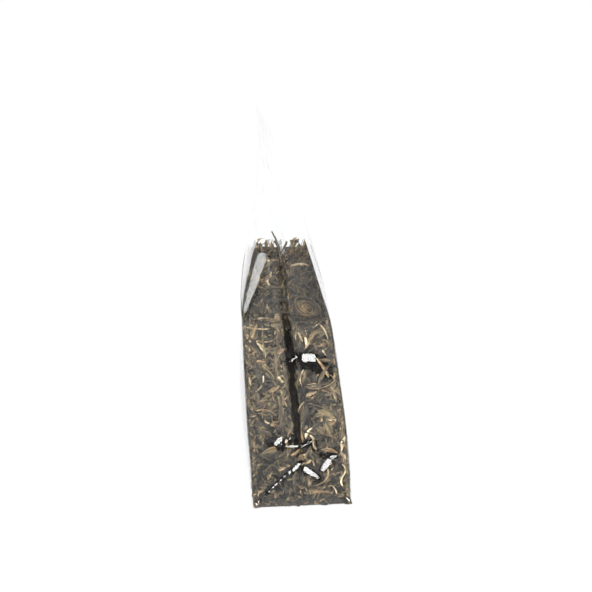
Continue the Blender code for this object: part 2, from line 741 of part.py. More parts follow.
def main():
    """Builds the bag, the packed tea and the single leaves."""
    for thing in list(bpy.data.objects):
        bpy.data.objects.remove(thing, do_unlink=True)
    film = add_material("clear_film", (0.93, 0.95, 0.94), 0.06, alpha=0.18)
    finishes = {
        "dark": add_material("dark_leaf", (0.035, 0.033, 0.026), 0.6),
        "brown": add_material("brown_leaf", (0.085, 0.052, 0.030), 0.6),
        "red": add_material("reddish_leaf", (0.18, 0.075, 0.040), 0.6),
        "khaki": add_material("khaki_leaf_finish", (0.13, 0.125, 0.070), 0.6),
        "tan": add_material("tan_stem", (0.36, 0.25, 0.13), 0.6),
        "amber": add_material("amber_stem", (0.33, 0.15, 0.045), 0.5),
        "cream": add_material("cream_stem", (0.55, 0.46, 0.28), 0.6),
    }
    make_bag(film)
    make_tea(finishes["dark"])
    for name, face, ends, width, finish in NAMED_LEAVES:
        make_leaf(name, face, ends, width, finishes[finish])
    name, face, centre, radius, width, finish = ROLLED_LEAF
    make_rolled_leaf(name, face, centre, radius, width, finishes[finish])
    name, place, finish = FORKED_STEM
    make_forked_stem(name, place, finishes[finish])


main()
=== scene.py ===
"""The looks of a clear side-gusset bag of loose leaf tea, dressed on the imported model.

Metres, +Z up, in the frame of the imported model. The near gusset faces -Y and the front panel
faces -X. The bag is one folded sheet of clear film. The tea inside is a dark core with some
thousands of leaves laid round it, pressed flat where they meet the film.
"""

import logging
import math
from dataclasses import dataclass, field
from enum import Enum
from functools import cached_property
from typing import Callable, Sequence, Union

import bpy
import numpy as np
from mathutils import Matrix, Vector, noise


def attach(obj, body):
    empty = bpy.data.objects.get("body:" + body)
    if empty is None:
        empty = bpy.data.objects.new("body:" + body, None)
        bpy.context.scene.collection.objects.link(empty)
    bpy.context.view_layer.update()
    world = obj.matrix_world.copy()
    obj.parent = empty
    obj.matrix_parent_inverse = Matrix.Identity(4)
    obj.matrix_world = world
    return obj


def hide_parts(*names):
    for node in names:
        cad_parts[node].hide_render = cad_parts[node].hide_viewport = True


Number = Union[float, np.ndarray]

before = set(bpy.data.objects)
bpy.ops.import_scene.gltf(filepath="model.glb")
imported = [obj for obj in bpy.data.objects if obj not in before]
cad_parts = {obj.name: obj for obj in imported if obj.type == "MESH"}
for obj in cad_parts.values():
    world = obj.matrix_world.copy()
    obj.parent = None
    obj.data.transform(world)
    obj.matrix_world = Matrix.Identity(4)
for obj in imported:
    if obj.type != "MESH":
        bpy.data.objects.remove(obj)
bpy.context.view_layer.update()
BODY = "root"
FORKED_STEM = "forked_stem"
LOG = logging.getLogger("tea_bag")

MM = 0.001
NEAR = -1
FAR = 1


def mix(a: Number, b: Number, t: Number) -> Number:
    """The value t of the way from a to b."""
    return a + (b - a) * t


def smooth_step(t: np.ndarray) -> np.ndarray:
    """A soft rise from 0 to 1."""
    held = np.clip(t, 0.0, 1.0)
    return held * held * (3 - 2 * held)


@dataclass(frozen=True)
class Profile:
    """A smooth curve through a few points.

    Attributes:
        points: (share, value) pairs, by rising share.
    """

    points: tuple[tuple[float, float], ...]

    def at(self, share: np.ndarray) -> np.ndarray:
        """Reads the curve.

        Args:
            share: Places along the curve.

        Returns:
            The curve's values there.
        """
        xs = np.array([p[0] for p in self.points])
        ys = np.array([p[1] for p in self.points])
        held = np.clip(share, xs[0], xs[-1])
        low = np.maximum(np.arange(len(xs)) - 1, 0)
        high = np.minimum(np.arange(len(xs)) + 1, len(xs) - 1)
        slope = (ys[high] - ys[low]) / (xs[high] - xs[low])
        i = np.clip(np.searchsorted(xs, held, side="left") - 1, 0, len(xs) - 2)
        span = xs[i + 1] - xs[i]
        t = (held - xs[i]) / span
        return (
            ys[i] * (2 * t**3 - 3 * t**2 + 1)
            + slope[i] * span * (t**3 - 2 * t**2 + t)
            + ys[i + 1] * (3 * t**2 - 2 * t**3)
            + slope[i + 1] * span * (t**3 - t**2)
        )


CAMERA_PLACE = Vector((-0.0604, -0.794, 0.521))
LAMP_TARGET = Vector((0.0, 0.0, 0.08))
LAMP_DISTANCE = 1.5


class Lamp(Enum):
    """Directions round the bag, as degrees from the near side and above the floor."""

    KEY = (4.0, 28.0)
    TOP = (12.0, 66.0)
    LEFT = (-38.0, 20.0)
    PALE = (-30.0, 30.0)
    RIGHT = (40.0, 19.0)
    REAR = (180.0, 50.0)
    NONE = (0.0, 0.0)  # no facet: a patch of painted shade only, on the film and on the leaves

    @property
    def place(self) -> Vector:
        """Where the lamp hangs."""
        azimuth, elevation = (math.radians(angle) for angle in self.value)
        flat = math.cos(elevation)
        away = Vector((math.sin(azimuth) * flat, -math.cos(azimuth) * flat,
                       math.sin(elevation)))
        return LAMP_TARGET + away * LAMP_DISTANCE

    def slopes(self, x: float, z: float) -> tuple[float, float]:
        """Slopes of near film that mirrors this lamp to the camera.

        Args:
            x: Place across the near gusset.
            z: Its height.

        Returns:
            How much the film goes in by x and by z.
        """
        spot = Vector((x, -0.05, z))
        half = (self.place - spot).normalized() - (spot - CAMERA_PLACE).normalized()
        return half.x / -half.y, half.z / -half.y


PAINTED_SHADE_SHEEN = 0.04  # painted shade: the film's mirror share round a facet and in the shade patches
PAINTED_HIGHLIGHT_SHEEN = 1.2  # painted highlight: a facet's mirror share, raised above the film's own; its glint also mirrors a lamp
FACET_GROWTH = 0.9  # how far, in mm, a facet's plane runs on past what shines


@dataclass(frozen=True)
class Dent:
    """A flat facet pressed into the near gusset's film, which mirrors one lamp.

    Attributes:
        centre: (x, z) of its middle, mm.
        length: How long it is, mm.
        height: How wide it is across its length, mm.
        turn: How far its length is turned from level, degrees.
        lamp: What it mirrors. With none, the dent presses nothing and is only painted shade.
        rim: Width of the slope round it, as a share of its size.
        taper: Above 0, it narrows towards the end of its length.
    """

    centre: tuple[float, float]
    length: float
    height: float
    turn: float
    lamp: Lamp = Lamp.KEY
    rim: float = 0.35
    taper: float = 0.0

    def local(self, x: np.ndarray, z: np.ndarray,
              grow: float = 0.0) -> tuple[np.ndarray, np.ndarray]:
        """Places along and across the dent, each from -1 to 1 inside it.

        Args:
            x: Places across the gusset.
            z: Their heights.
            grow: How much wider the dent is taken on every side, mm.

        Returns:
            The places along and across.
        """
        dx, dz = x / MM - self.centre[0], z / MM - self.centre[1]
        c, s = math.cos(math.radians(self.turn)), math.sin(math.radians(self.turn))
        along = (dx * c + dz * s) / (self.length / 2 + grow)
        narrow = np.clip(1 - self.taper * along, 0.15, 2.0)
        return along, (dz * c - dx * s) / (self.height / 2 * narrow + grow)

    def mask(self, x: np.ndarray, z: np.ndarray) -> np.ndarray:
        """1 on the facet, falling to 0 over the slope round it."""
        along, across = self.local(x, z, FACET_GROWTH)
        away = (np.abs(along) ** 4 + np.abs(across) ** 4) ** (1 / 4)
        return 1 - smooth_step((away - 1) / self.rim)

    def paint_highlight(self, x: np.ndarray, z: np.ndarray, sheen: np.ndarray) -> np.ndarray:
        """Painted highlight: raises the film's sheen on the facet."""
        if self.lamp is Lamp.NONE:
            return sheen
        along, across = self.local(x, z)
        away = (np.abs(along) ** 4 + np.abs(across) ** 4) ** (1 / 4)
        return mix(sheen, PAINTED_HIGHLIGHT_SHEEN, 1 - smooth_step((away - 0.95) / 0.15))

    def press(self, x: np.ndarray, z: np.ndarray, inward: np.ndarray,
              start: float) -> np.ndarray:
        """Presses the film in to the facet.

        Args:
            x: Places across the gusset.
            z: Their heights.
            inward: How far in the film stands there.
            start: How far in the smooth film stands at the dent's middle.

        Returns:
            How far in the film stands with the facet.
        """
        if self.lamp is Lamp.NONE:
            return inward
        cx, cz = self.centre[0] * MM, self.centre[1] * MM
        by_x, by_z = self.lamp.slopes(cx, cz)
        c, s = math.cos(math.radians(self.turn)), math.sin(math.radians(self.turn))
        reach = abs(by_x * c + by_z * s) * self.length + abs(by_z * c - by_x * s) * self.height
        facet = start + reach / 2 * MM + by_x * (x - cx) + by_z * (z - cz)
        return mix(inward, facet, self.mask(x, z))

    def shade(self, x: np.ndarray, z: np.ndarray) -> np.ndarray:
        """Mask of painted shade: 1 inside the dent, fading to 0 just outside it."""
        along, across = self.local(x, z, 0.0 if self.lamp is Lamp.NONE else FACET_GROWTH)
        return 1 - smooth_step((np.hypot(along, across) - 1.1) / 0.5)


# The long left leg of the base's fold, as a row of short facets
LEFT_LEG = tuple(
    Dent((mix(-18.0, -3.2, k / 6), mix(13.0, 28.0, k / 6)), 5.6, 1.3, 45.3, Lamp.LEFT, 0.3)
    for k in range(7)
)

# The dents, by their places in the photograph
# Dents that mirror no lamp press no facet: they are patches of painted shade only.
DENTS = (
    Dent((1.4, 99.4), 19.0, 8.4, -6.0, Lamp.NONE, 0.5),
    Dent((12.0, 93.0), 15.0, 6.6, -38.0, Lamp.NONE, 0.5, 0.3),
    Dent((3.4, 100.6), 7.4, 3.7, -3.0, Lamp.KEY, 0.3),
    Dent((-4.8, 99.9), 4.0, 0.5, 34.0, Lamp.KEY, 0.5),
    Dent((-6.0, 44.6), 24.0, 5.6, 1.0, Lamp.NONE, 0.45),
    Dent((-14.0, 45.4), 4.2, 4.2, 0.0, Lamp.KEY, 0.3, -0.8),
    Dent((-6.0, 42.8), 10.5, 0.8, -1.0, Lamp.KEY, 0.5),
    Dent((2.6, 43.8), 6.0, 0.3, 22.0, Lamp.KEY, 0.6),
    Dent((-8.8, 46.4), 5.0, 0.3, 40.0, Lamp.KEY, 0.6),
    Dent((6.6, 41.4), 5.4, 3.4, -34.0, Lamp.NONE, 0.5),
    Dent((11.0, 36.4), 6.4, 2.8, -42.0, Lamp.NONE, 0.6),
    Dent((17.6, 36.6), 4.8, 5.4, -10.0, Lamp.NONE, 0.45),
    Dent((17.8, 34.8), 3.4, 1.0, 4.0, Lamp.KEY, 0.5),
    Dent((13.6, 27.4), 9.6, 4.2, 48.0, Lamp.NONE, 0.4, -0.3),
    Dent((13.8, 28.0), 7.4, 2.8, 46.0, Lamp.KEY, 0.35, -0.35),
    Dent((-10.4, 20.6), 25.0, 3.0, 45.3, Lamp.NONE, 0.6),
    *LEFT_LEG,
    Dent((5.2, 22.2), 13.0, 4.0, -45.6, Lamp.NONE, 0.4, 0.2),
    Dent((5.6, 22.7), 11.0, 1.9, -40.0, Lamp.RIGHT, 0.4, 0.45),
    Dent((-0.8, 29.4), 3.4, 3.6, 0.0, Lamp.NONE, 0.5),
    Dent((-26.0, 3.9), 4.4, 2.2, 38.0, Lamp.NONE, 0.5),
    Dent((-26.2, 3.9), 3.0, 0.8, 38.0, Lamp.KEY, 0.5),
    Dent((26.2, 4.8), 4.0, 2.8, -40.0, Lamp.NONE, 0.5),
    Dent((27.2, 3.4), 2.2, 0.8, -42.0, Lamp.KEY, 0.5),
    Dent((-9.8, 160.8), 1.6, 1.2, 0.0, Lamp.KEY, 0.5),
    Dent((-26.4, 145.4), 31.0, 3.7, 68.5, Lamp.PALE, 0.1, -0.5),
)


@dataclass(frozen=True)
class BagForm:
    """The bag's folded form, by the same named sizes as its solids."""

    base_depth: float = 0.060
    base_width: float = 0.100
    height: float = 0.228
    seal_height: float = 0.011
    seal_top_x: float = -0.0212
    seal_foot_x: float = -0.0196
    film: float = 0.00025
    fold: float = 0.0006
    seam_width: float = 0.010
    front_bulge: float = 0.0025
    back_bulge: float = 0.0012
    swell: float = 0.0014
    crease_half: float = 0.0021
    fill_height: float = 0.124
    heap_rise: float = 0.003
    leaf_layer: float = 0.0024
    spacing: float = 0.0006
    slit_top: float = 0.185
    back_profile: Profile = Profile((
        (0.0, 0.0), (0.207, 0.076), (0.396, 0.183), (0.553, 0.287), (0.654, 0.411),
        (0.783, 0.573), (0.853, 0.688), (0.922, 0.828), (0.968, 0.914), (1.0, 1.0),
    ))
    front_near_profile: Profile = Profile((
        (0.0, 0.0), (0.11, 0.02), (0.23, -0.126), (0.346, -0.23), (0.493, -0.326),
        (0.613, -0.337), (0.69, -0.053), (0.76, 0.274), (0.797, 0.526), (0.866, 0.568),
        (1.0, 1.0),
    ))
    front_far_profile: Profile = Profile((
        (0.0, 0.0), (0.13, -0.18), (0.313, -0.095), (0.412, 0.105), (0.512, 0.337),
        (0.604, 0.61), (0.719, 1.0), (0.839, 1.41), (0.922, 1.32), (1.0, 1.0),
    ))
    front_swell: Profile = Profile((
        (0.0, 0.0), (0.15, 0.8), (0.4, 1.0), (0.8, 1.0), (0.93, 0.6), (1.0, 0.0),
    ))
    back_swell: Profile = Profile((
        (0.0, 0.0), (0.15, 1.0), (0.5, 0.8), (0.6, 0.2), (0.7, 0.0), (1.0, 0.0),
    ))
    dents: tuple[Dent, ...] = DENTS

    @property
    def seal_foot(self) -> float:
        """Height where the seal begins."""
        return self.height - self.seal_height

    @property
    def half_depth(self) -> float:
        """Half the gusset side, which is the height of the base folds too."""
        return self.base_depth / 2

    @property
    def half_width(self) -> float:
        """Half the wide panels."""
        return self.base_width / 2

    @property
    def corner(self) -> float:
        """How much a corner fold is cut back."""
        return self.fold * math.sqrt(0.5)

    def seal_x(self, z: np.ndarray) -> np.ndarray:
        """Middle of the leaning seal at a height."""
        share = np.clip((z - self.seal_foot) / self.seal_height, 0.0, 1.0)
        return mix(self.seal_foot_x, self.seal_top_x, share)

    def back_edge(self, z: np.ndarray) -> np.ndarray:
        """X of the back panel's edges."""
        share = self.back_profile.at(z / self.seal_foot)
        return mix(self.half_depth, self.seal_x(z) + 1.5 * self.fold, share)

    def front_edge(self, z: np.ndarray, end: int) -> np.ndarray:
        """X of the front panel's edge at the near or the far gusset."""
        profile = self.front_near_profile if end == NEAR else self.front_far_profile
        share = profile.at(z / self.seal_foot)
        return mix(-self.half_depth, self.seal_x(z) - 1.5 * self.fold, share)

    def openness(self, z: np.ndarray) -> np.ndarray:
        """1 where the tea holds the bag open, 0 at the seal."""
        return 1 - smooth_step((z - self.fill_height) / (self.seal_foot - self.fill_height))

    def slit(self, z: np.ndarray, end: int) -> np.ndarray:
        """1 where a gusset's crease is a narrow slit, 0 where the gusset is a wide V."""
        if end == FAR:
            return self.openness(z)
        return 1 - smooth_step((z - self.slit_top) / (self.seal_foot - self.slit_top))

    def crease_lip(self, z: np.ndarray, half: np.ndarray, end: int) -> np.ndarray:
        """Share of a gusset half, from its corner, where the crease begins."""
        widest = np.where(half > 3 * self.crease_half, 1 - self.crease_half / half, 2 / 3)
        folds = np.maximum(0.1, widest * z / self.half_depth)
        return np.where(z < self.half_depth, folds, mix(0.3, widest, self.slit(z, end)))

    def crease_depth(self, z: np.ndarray, half: np.ndarray, lip: np.ndarray) -> np.ndarray:
        """How far the crease goes in: what is left of the gusset half's own width."""
        start, full = 0.8 * self.half_depth, 1.3 * self.half_depth
        rest = self.half_depth - lip * half
        begun = smooth_step((z - start) / (full - start))
        return begun * np.sqrt(np.maximum(rest**2 - ((1 - lip) * half) ** 2, 0.0))

    def gusset(self, z: np.ndarray, end: int) -> tuple[np.ndarray, ...]:
        """(front edge, crease middle, half width, lip, depth) of a gusset at heights."""
        front = self.front_edge(z, end)
        middle = (front + self.back_edge(z)) / 2
        half = middle - front
        lip = self.crease_lip(z, half, end)
        return front, middle, half, lip, self.crease_depth(z, half, lip)

    def gusset_start(self, z: np.ndarray, front: np.ndarray) -> np.ndarray:
        """X where the gusset's film leaves its front corner."""
        return front + mix(self.fold, self.corner, self.openness(z))

    def gusset_in(self, x: np.ndarray, z: np.ndarray, end: int,
                  dented: bool = True) -> np.ndarray:
        """How far in from the base's edge the gusset's film stands.

        Args:
            x: Places across the gusset.
            z: Their heights.
            end: NEAR or FAR.
            dented: Whether the dents count.

        Returns:
            Distances in, in metres.
        """
        front, middle, _, lip, depth = self.gusset(z, end)
        start = self.gusset_start(z, front)
        folded = np.where(x > middle, 2 * middle - x, x)
        u = np.clip((folded - start) / (middle - self.fold / 2 - start), 0.0, 1.0)
        opened = self.slit(z, end)
        pulled = np.clip((u - lip) / (1 - lip), 0.0, 1.0)
        rise = np.sin(math.pi * np.clip(z / (1.06 * self.fill_height), 0.0, 1.0))
        pillow = self.swell * rise * np.sin(math.pi * np.clip(u / lip, 0.0, 1.0))
        inward = depth * ((1 - opened) * u + opened * pulled) - pillow
        if end == NEAR and dented:
            for dent, foundation in zip(self.dents, self.dent_starts):
                inward = dent.press(x, z, inward, foundation)
        return inward

    @cached_property
    def dent_starts(self) -> tuple[float, ...]:
        """How far in the smooth film stands at each dent's middle."""
        return tuple(
            float(self.gusset_in(np.array(dent.centre[0] * MM), np.array(dent.centre[1] * MM),
                                 NEAR, False))
            for dent in self.dents
        )

    def dent_in(self, x: np.ndarray, z: np.ndarray) -> np.ndarray:
        """How far the dents push the near gusset in."""
        return self.gusset_in(x, z, NEAR) - self.gusset_in(x, z, NEAR, False)

    def sheen(self, x: np.ndarray, y: np.ndarray, z: np.ndarray) -> np.ndarray:
        """How much the film mirrors: painted shade in the near crease and round the dents."""
        _, middle, half, lip, _ = self.gusset(z, NEAR)
        away = np.abs(x - middle) / np.maximum(half, 1e-4)
        # Painted shade in the near crease: its mirror share falls to a tenth.
        crease_shade_mask = smooth_step((1 - lip * 0.97 - away) / 0.03) * smooth_step((z - 0.03) / 0.01)
        sheen = 1 - 0.9 * crease_shade_mask
        # Painted shade round every dent, and in the patches with no facet.
        for dent in self.dents:
            sheen = mix(sheen, PAINTED_SHADE_SHEEN, dent.shade(x, z))
        # Painted highlight on each facet.
        for dent in self.dents:
            sheen = dent.paint_highlight(x, z, sheen)
        return np.where(y < -0.004, sheen, 1.0)

    def dent_flat(self, x: np.ndarray, z: np.ndarray) -> np.ndarray:
        """1 on the facets, where the film is taut, 0 elsewhere."""
        flat = np.zeros_like(x * z)
        for dent in self.dents:
            flat = np.maximum(flat, dent.mask(x, z))
        return flat

    def dent_painted_shade(self, x: np.ndarray, z: np.ndarray) -> np.ndarray:
        """Mask of the painted shade that darkens the leaves: 1 in the dents, 0 elsewhere."""
        shade = np.zeros_like(x * z)
        for dent in self.dents:
            shade = np.maximum(shade, dent.shade(x, z))
        return shade

    def panel_x(self, z: np.ndarray, share: np.ndarray, back: bool) -> np.ndarray:
        """X of a wide panel's film, share of the way from near to far."""
        swell = 4 * share * (1 - share)
        if back:
            bulge = self.back_bulge * self.back_swell.at(z / self.seal_foot)
            x = self.back_edge(z) + bulge * swell
        else:
            bulge = self.front_bulge * self.front_swell.at(z / self.seal_foot)
            x = mix(self.front_edge(z, NEAR), self.front_edge(z, FAR), share) - bulge * swell
        between = np.abs(share - 0.5) * self.base_width < self.half_width - self.half_depth
        side = 1 if back else -1
        flat = self.seal_x(z) + side * self.fold / 2
        return np.where((z >= self.seal_foot) & between, flat, x)

    def heap_top(self, x: np.ndarray, y: np.ndarray) -> np.ndarray:
        """Height of the heap's top surface under the leaves that lie on it."""
        rim = self.fill_height - self.leaf_layer - self.heap_rise
        middle = (self.front_edge(np.array(rim), NEAR) + self.back_edge(np.array(rim))) / 2
        half = self.back_edge(np.array(rim)) - middle
        away = np.maximum(np.abs(x - middle) / half, np.abs(y) / self.half_width)
        return rim + self.heap_rise * smooth_step(1.25 - 1.25 * away)


FORM = BagForm()


# Finishes

class NodeSheet:
    """A material's node tree, with short calls to add and join nodes."""

    def __init__(self, name: str) -> None:
        """Starts an empty material.

        Args:
            name: Name of the material.
        """
        self.material = bpy.data.materials.new(name)
        self.material.use_nodes = True
        self.tree = self.material.node_tree
        self.tree.nodes.clear()
        self.out = self.tree.nodes.new("ShaderNodeOutputMaterial")

    def add(self, kind: str, settings: dict | None = None, **inputs) -> bpy.types.Node:
        """Adds a node.

        Args:
            kind: Node type without its ShaderNode prefix.
            settings: Properties of the node.
            inputs: Values or other nodes' sockets for its inputs, with _ for a space.

        Returns:
            The node.
        """
        node = self.tree.nodes.new("ShaderNode" + kind)
        for key, value in (settings or {}).items():
            setattr(node, key, value)
        for key, value in inputs.items():
            socket = node.inputs[key.replace("_", " ")]
            if isinstance(value, bpy.types.NodeSocket):
                self.tree.links.new(value, socket)
            else:
                socket.default_value = value
        return node

    def join(self, out: bpy.types.NodeSocket, to: bpy.types.NodeSocket) -> None:
        """Joins an output to an input."""
        self.tree.links.new(out, to)

    def ramp(self, fac: bpy.types.NodeSocket, stops: Sequence[tuple]) -> bpy.types.NodeSocket:
        """A colour ramp.

        Args:
            fac: What drives it.
            stops: (place, colour) pairs.

        Returns:
            Its colour output.
        """
        node = self.add("ValToRGB", Fac=fac)
        band = node.color_ramp.elements
        while len(band) < len(stops):
            band.new(0.5)
        for element, (place, colour) in zip(band, stops):
            element.position = place
            element.color = (*colour, 1.0)
        return node.outputs["Color"]

    def math(self, operation: str, a, b=0.0, c=0.0) -> bpy.types.NodeSocket:
        """A sum of values or sockets."""
        node = self.tree.nodes.new("ShaderNodeMath")
        node.operation = operation
        for socket, value in zip(node.inputs, (a, b, c)):
            if isinstance(value, bpy.types.NodeSocket):
                self.tree.links.new(value, socket)
            else:
                socket.default_value = value
        return node.outputs[0]


@dataclass(frozen=True)
class FilmFinish:
    """Clear film: glossy by its angle, with a trace of haze.

    Attributes:
        name: Name of the material.
        gloss: Share of light that a wall mirrors when seen straight on.
        haze: Share of light that it scatters.
        roughness: Of its gloss.
        ripple: Height of its finest ripples.
        seal_foot: Where the ribs of the seal begin.
        rib_pitch: Distance between the ribs of the seal.
        rib_share: Height of the ribs over the height of the ripples.
    """

    name: str = "clear_film"
    gloss: float = 0.017
    haze: float = 0.002
    roughness: float = 0.02
    ripple: float = 0.00004
    seal_foot: float = 0.2185
    rib_pitch: float = 0.0016
    rib_share: float = 2.0

    def make(self) -> bpy.types.Material:
        """Builds the material."""
        sheet = NodeSheet(self.name)
        place = sheet.add("TexCoord").outputs["Object"]
        ripples = sheet.add("TexNoise", Vector=place, Scale=160.0, Detail=2.0)
        level = sheet.add("SeparateXYZ", Vector=place).outputs["Z"]
        in_seal = sheet.math("GREATER_THAN", level, self.seal_foot)
        rib = sheet.math("SINE", sheet.math("MULTIPLY", level, math.tau / self.rib_pitch))
        pressed = sheet.math("MULTIPLY", in_seal, rib)
        relief = sheet.math("MULTIPLY_ADD", pressed, self.rib_share, ripples.outputs["Fac"])
        bump = sheet.add("Bump", Height=relief, Distance=self.ripple, Strength=1.0)
        clear = sheet.add("BsdfTransparent", Color=(0.992, 0.995, 0.993, 1.0))
        white = sheet.add("BsdfDiffuse", Color=(0.9, 0.9, 0.9, 1.0))
        gloss = sheet.add("BsdfGlossy", Color=(1.0, 1.0, 1.0, 1.0), Roughness=self.roughness)
        sheet.join(bump.outputs[0], gloss.inputs["Normal"])
        facing = sheet.add("LayerWeight", Blend=0.5).outputs["Facing"]
        edge = sheet.math("POWER", facing, 5.0)
        bare = sheet.math("MULTIPLY_ADD", edge, 1.0 - self.gloss, self.gloss)
        # The "sheen" attribute is painted reflection: below 1 painted shade, above 1 painted
        # highlight.
        sheen = sheet.add("Attribute", {"attribute_name": "sheen"}).outputs["Fac"]
        mirror = sheet.math("MULTIPLY", bare, sheen)
        body = sheet.add("MixShader")
        body.inputs[0].default_value = self.haze
        sheet.join(clear.outputs[0], body.inputs[1])
        sheet.join(white.outputs[0], body.inputs[2])
        skin = sheet.add("MixShader")
        sheet.join(mirror, skin.inputs[0])
        sheet.join(body.outputs[0], skin.inputs[1])
        sheet.join(gloss.outputs[0], skin.inputs[2])
        sheet.join(skin.outputs[0], sheet.out.inputs["Surface"])
        return sheet.material


# Colours of dried leaf, dark to pale, over the share of leaves that have them
LEAF_COLOURS = (
    (0.00, (0.006, 0.005, 0.005)),
    (0.15, (0.015, 0.013, 0.010)),
    (0.32, (0.037, 0.033, 0.026)),
    (0.46, (0.058, 0.045, 0.030)),
    (0.58, (0.106, 0.081, 0.050)),
    (0.68, (0.138, 0.116, 0.058)),
    (0.76, (0.182, 0.106, 0.058)),
    (0.85, (0.265, 0.190, 0.106)),
    (0.93, (0.345, 0.267, 0.158)),
    (1.00, (0.520, 0.431, 0.279)),
)


class Tone(Enum):
    """Places of the finishes on the scale of leaf colours."""

    DARK = 0.16
    BROWN = 0.52
    KHAKI = 0.67
    RED = 0.75
    AMBER = 0.80
    TAN = 0.90
    CREAM = 0.98


@dataclass(frozen=True)
class LeafFinish:
    """Dried leaf: a colour for each leaf, ribbed and mottled along its length.

    Attributes:
        name: Name of the material.
        roughness: Of its surface.
        rib: Height of the ribs along the leaf.
        mottle: How much the colour varies along one leaf.
        contrast: How much lighter ribs are than furrows: streak colour and painted light and shade.
    """

    name: str = "dried_leaf"
    roughness: float = 0.52
    rib: float = 0.0003
    mottle: float = 1.5
    contrast: float = 4.2

    def make(self) -> bpy.types.Material:
        """Builds the material."""
        sheet = NodeSheet(self.name)
        grain = sheet.add("Attribute", {"attribute_name": "grain"}).outputs["Vector"]
        tone = sheet.add("Attribute", {"attribute_name": "tone"}).outputs["Fac"]
        stretch = sheet.add("Mapping", Vector=grain, Scale=(110.0, 640.0, 1.0))
        ribs = sheet.add("TexNoise", Vector=stretch.outputs[0], Scale=1.0, Detail=3.0,
                         Roughness=0.6)
        spread = sheet.add("Mapping", Vector=grain, Scale=(330.0, 430.0, 1.0))
        patches = sheet.add("TexNoise", Vector=spread.outputs[0], Scale=1.0, Detail=4.0,
                            Roughness=0.7)
        streak = sheet.math("SUBTRACT", ribs.outputs["Fac"], 0.5)
        blotch = sheet.math("SUBTRACT", patches.outputs["Fac"], 0.5)
        # The mottle fades on the darkest tones, so leaves given painted shade stay black.
        lively = sheet.math("MINIMUM", sheet.math("MULTIPLY", tone, 4.0), 1.0)
        spots = sheet.math("MULTIPLY_ADD", streak, 0.5, blotch)
        swing = sheet.math("MULTIPLY", spots, lively)
        shifted = sheet.math("MULTIPLY_ADD", swing, self.mottle * 0.5, tone)
        colour = sheet.ramp(shifted, LEAF_COLOURS)
        # Brightness follows the bump's rib height: partly real streaks, partly painted light on
        # ribs and painted shade in furrows.
        ribbed = sheet.math("MULTIPLY_ADD", streak, self.contrast, 1.0)
        light = sheet.math("MAXIMUM", ribbed, 0.2)
        lit = sheet.add("VectorMath", {"operation": "SCALE"})
        sheet.join(colour, lit.inputs[0])
        sheet.join(light, lit.inputs["Scale"])
        height = sheet.math("MULTIPLY_ADD", blotch, 0.5, streak)
        bump = sheet.add("Bump", Height=height, Distance=self.rib, Strength=1.0)
        sheen = sheet.math("MULTIPLY_ADD", blotch, 0.5, self.roughness)
        # Gloss falls with tone, so leaves given painted shade don't shine.
        polish = sheet.math("MULTIPLY_ADD", tone, 0.8, 0.02)
        polish = sheet.math("MINIMUM", polish, 0.22)
        shader = sheet.add("BsdfPrincipled", Base_Color=lit.outputs[0], Roughness=sheen,
                           Specular_IOR_Level=polish)
        sheet.join(bump.outputs[0], shader.inputs["Normal"])
        sheet.join(shader.outputs[0], sheet.out.inputs["Surface"])
        return sheet.material


@dataclass(frozen=True)
class CoreFinish:
    """The dark depth of the tea, seen only in the gaps between leaves."""

    name: str = "packed_tea"

    def make(self) -> bpy.types.Material:
        """Builds the material."""
        sheet = NodeSheet(self.name)
        place = sheet.add("TexCoord").outputs["Object"]
        stretch = sheet.add("Mapping", Vector=place, Scale=(1.0, 1.0, 0.35))
        crumbs = sheet.add("TexNoise", Vector=stretch.outputs[0], Scale=420.0, Detail=5.0,
                           Roughness=0.7)
        colour = sheet.ramp(crumbs.outputs["Fac"], (
            (0.35, (0.006, 0.006, 0.005)), (0.55, (0.018, 0.015, 0.011)),
            (0.75, (0.050, 0.036, 0.022)),
        ))
        bump = sheet.add("Bump", Height=crumbs.outputs["Fac"], Distance=0.0008, Strength=1.0)
        shader = sheet.add("BsdfPrincipled", Base_Color=colour, Roughness=0.75)
        sheet.join(bump.outputs[0], shader.inputs["Normal"])
        sheet.join(shader.outputs[0], sheet.out.inputs["Surface"])
        return sheet.material


@dataclass(frozen=True)
class StemFinish:
    """A dry, dark stem with fine ribs along it."""

    name: str = "dry_stem"
    grain: float = 900.0
    roughness: float = 0.55

    def make(self) -> bpy.types.Material:
        """Builds the material."""
        sheet = NodeSheet(self.name)
        place = sheet.add("TexCoord").outputs["Object"]
        stretch = sheet.add("Mapping", Vector=place, Scale=(1.0, 0.4, 0.16))
        fibres = sheet.add("TexNoise", Vector=stretch.outputs[0], Scale=self.grain, Detail=4.0,
                           Roughness=0.6)
        colour = sheet.ramp(fibres.outputs["Fac"], (
            (0.30, (0.018, 0.014, 0.010)), (0.55, (0.060, 0.048, 0.034)),
            (0.75, (0.170, 0.135, 0.095)),
        ))
        bump = sheet.add("Bump", Height=fibres.outputs["Fac"], Distance=0.0002, Strength=0.8)
        shader = sheet.add("BsdfPrincipled", Base_Color=colour, Roughness=self.roughness)
        sheet.join(bump.outputs[0], shader.inputs["Normal"])
        sheet.join(shader.outputs[0], sheet.out.inputs["Surface"])
        return sheet.material


@dataclass(frozen=True)
class StageFinish:
    """A white floor, bright enough to show as plain white."""

    name: str = "white_floor"
    glow: float = 0.88

    def make(self) -> bpy.types.Material:
        """Builds the material."""
        sheet = NodeSheet(self.name)
        shader = sheet.add("BsdfPrincipled", Base_Color=(0.12, 0.12, 0.12, 1.0), Roughness=0.9,
                           Emission_Color=(1.0, 1.0, 1.0, 1.0), Emission_Strength=self.glow)
        sheet.join(shader.outputs[0], sheet.out.inputs["Surface"])
        return sheet.material


# Work on a piece

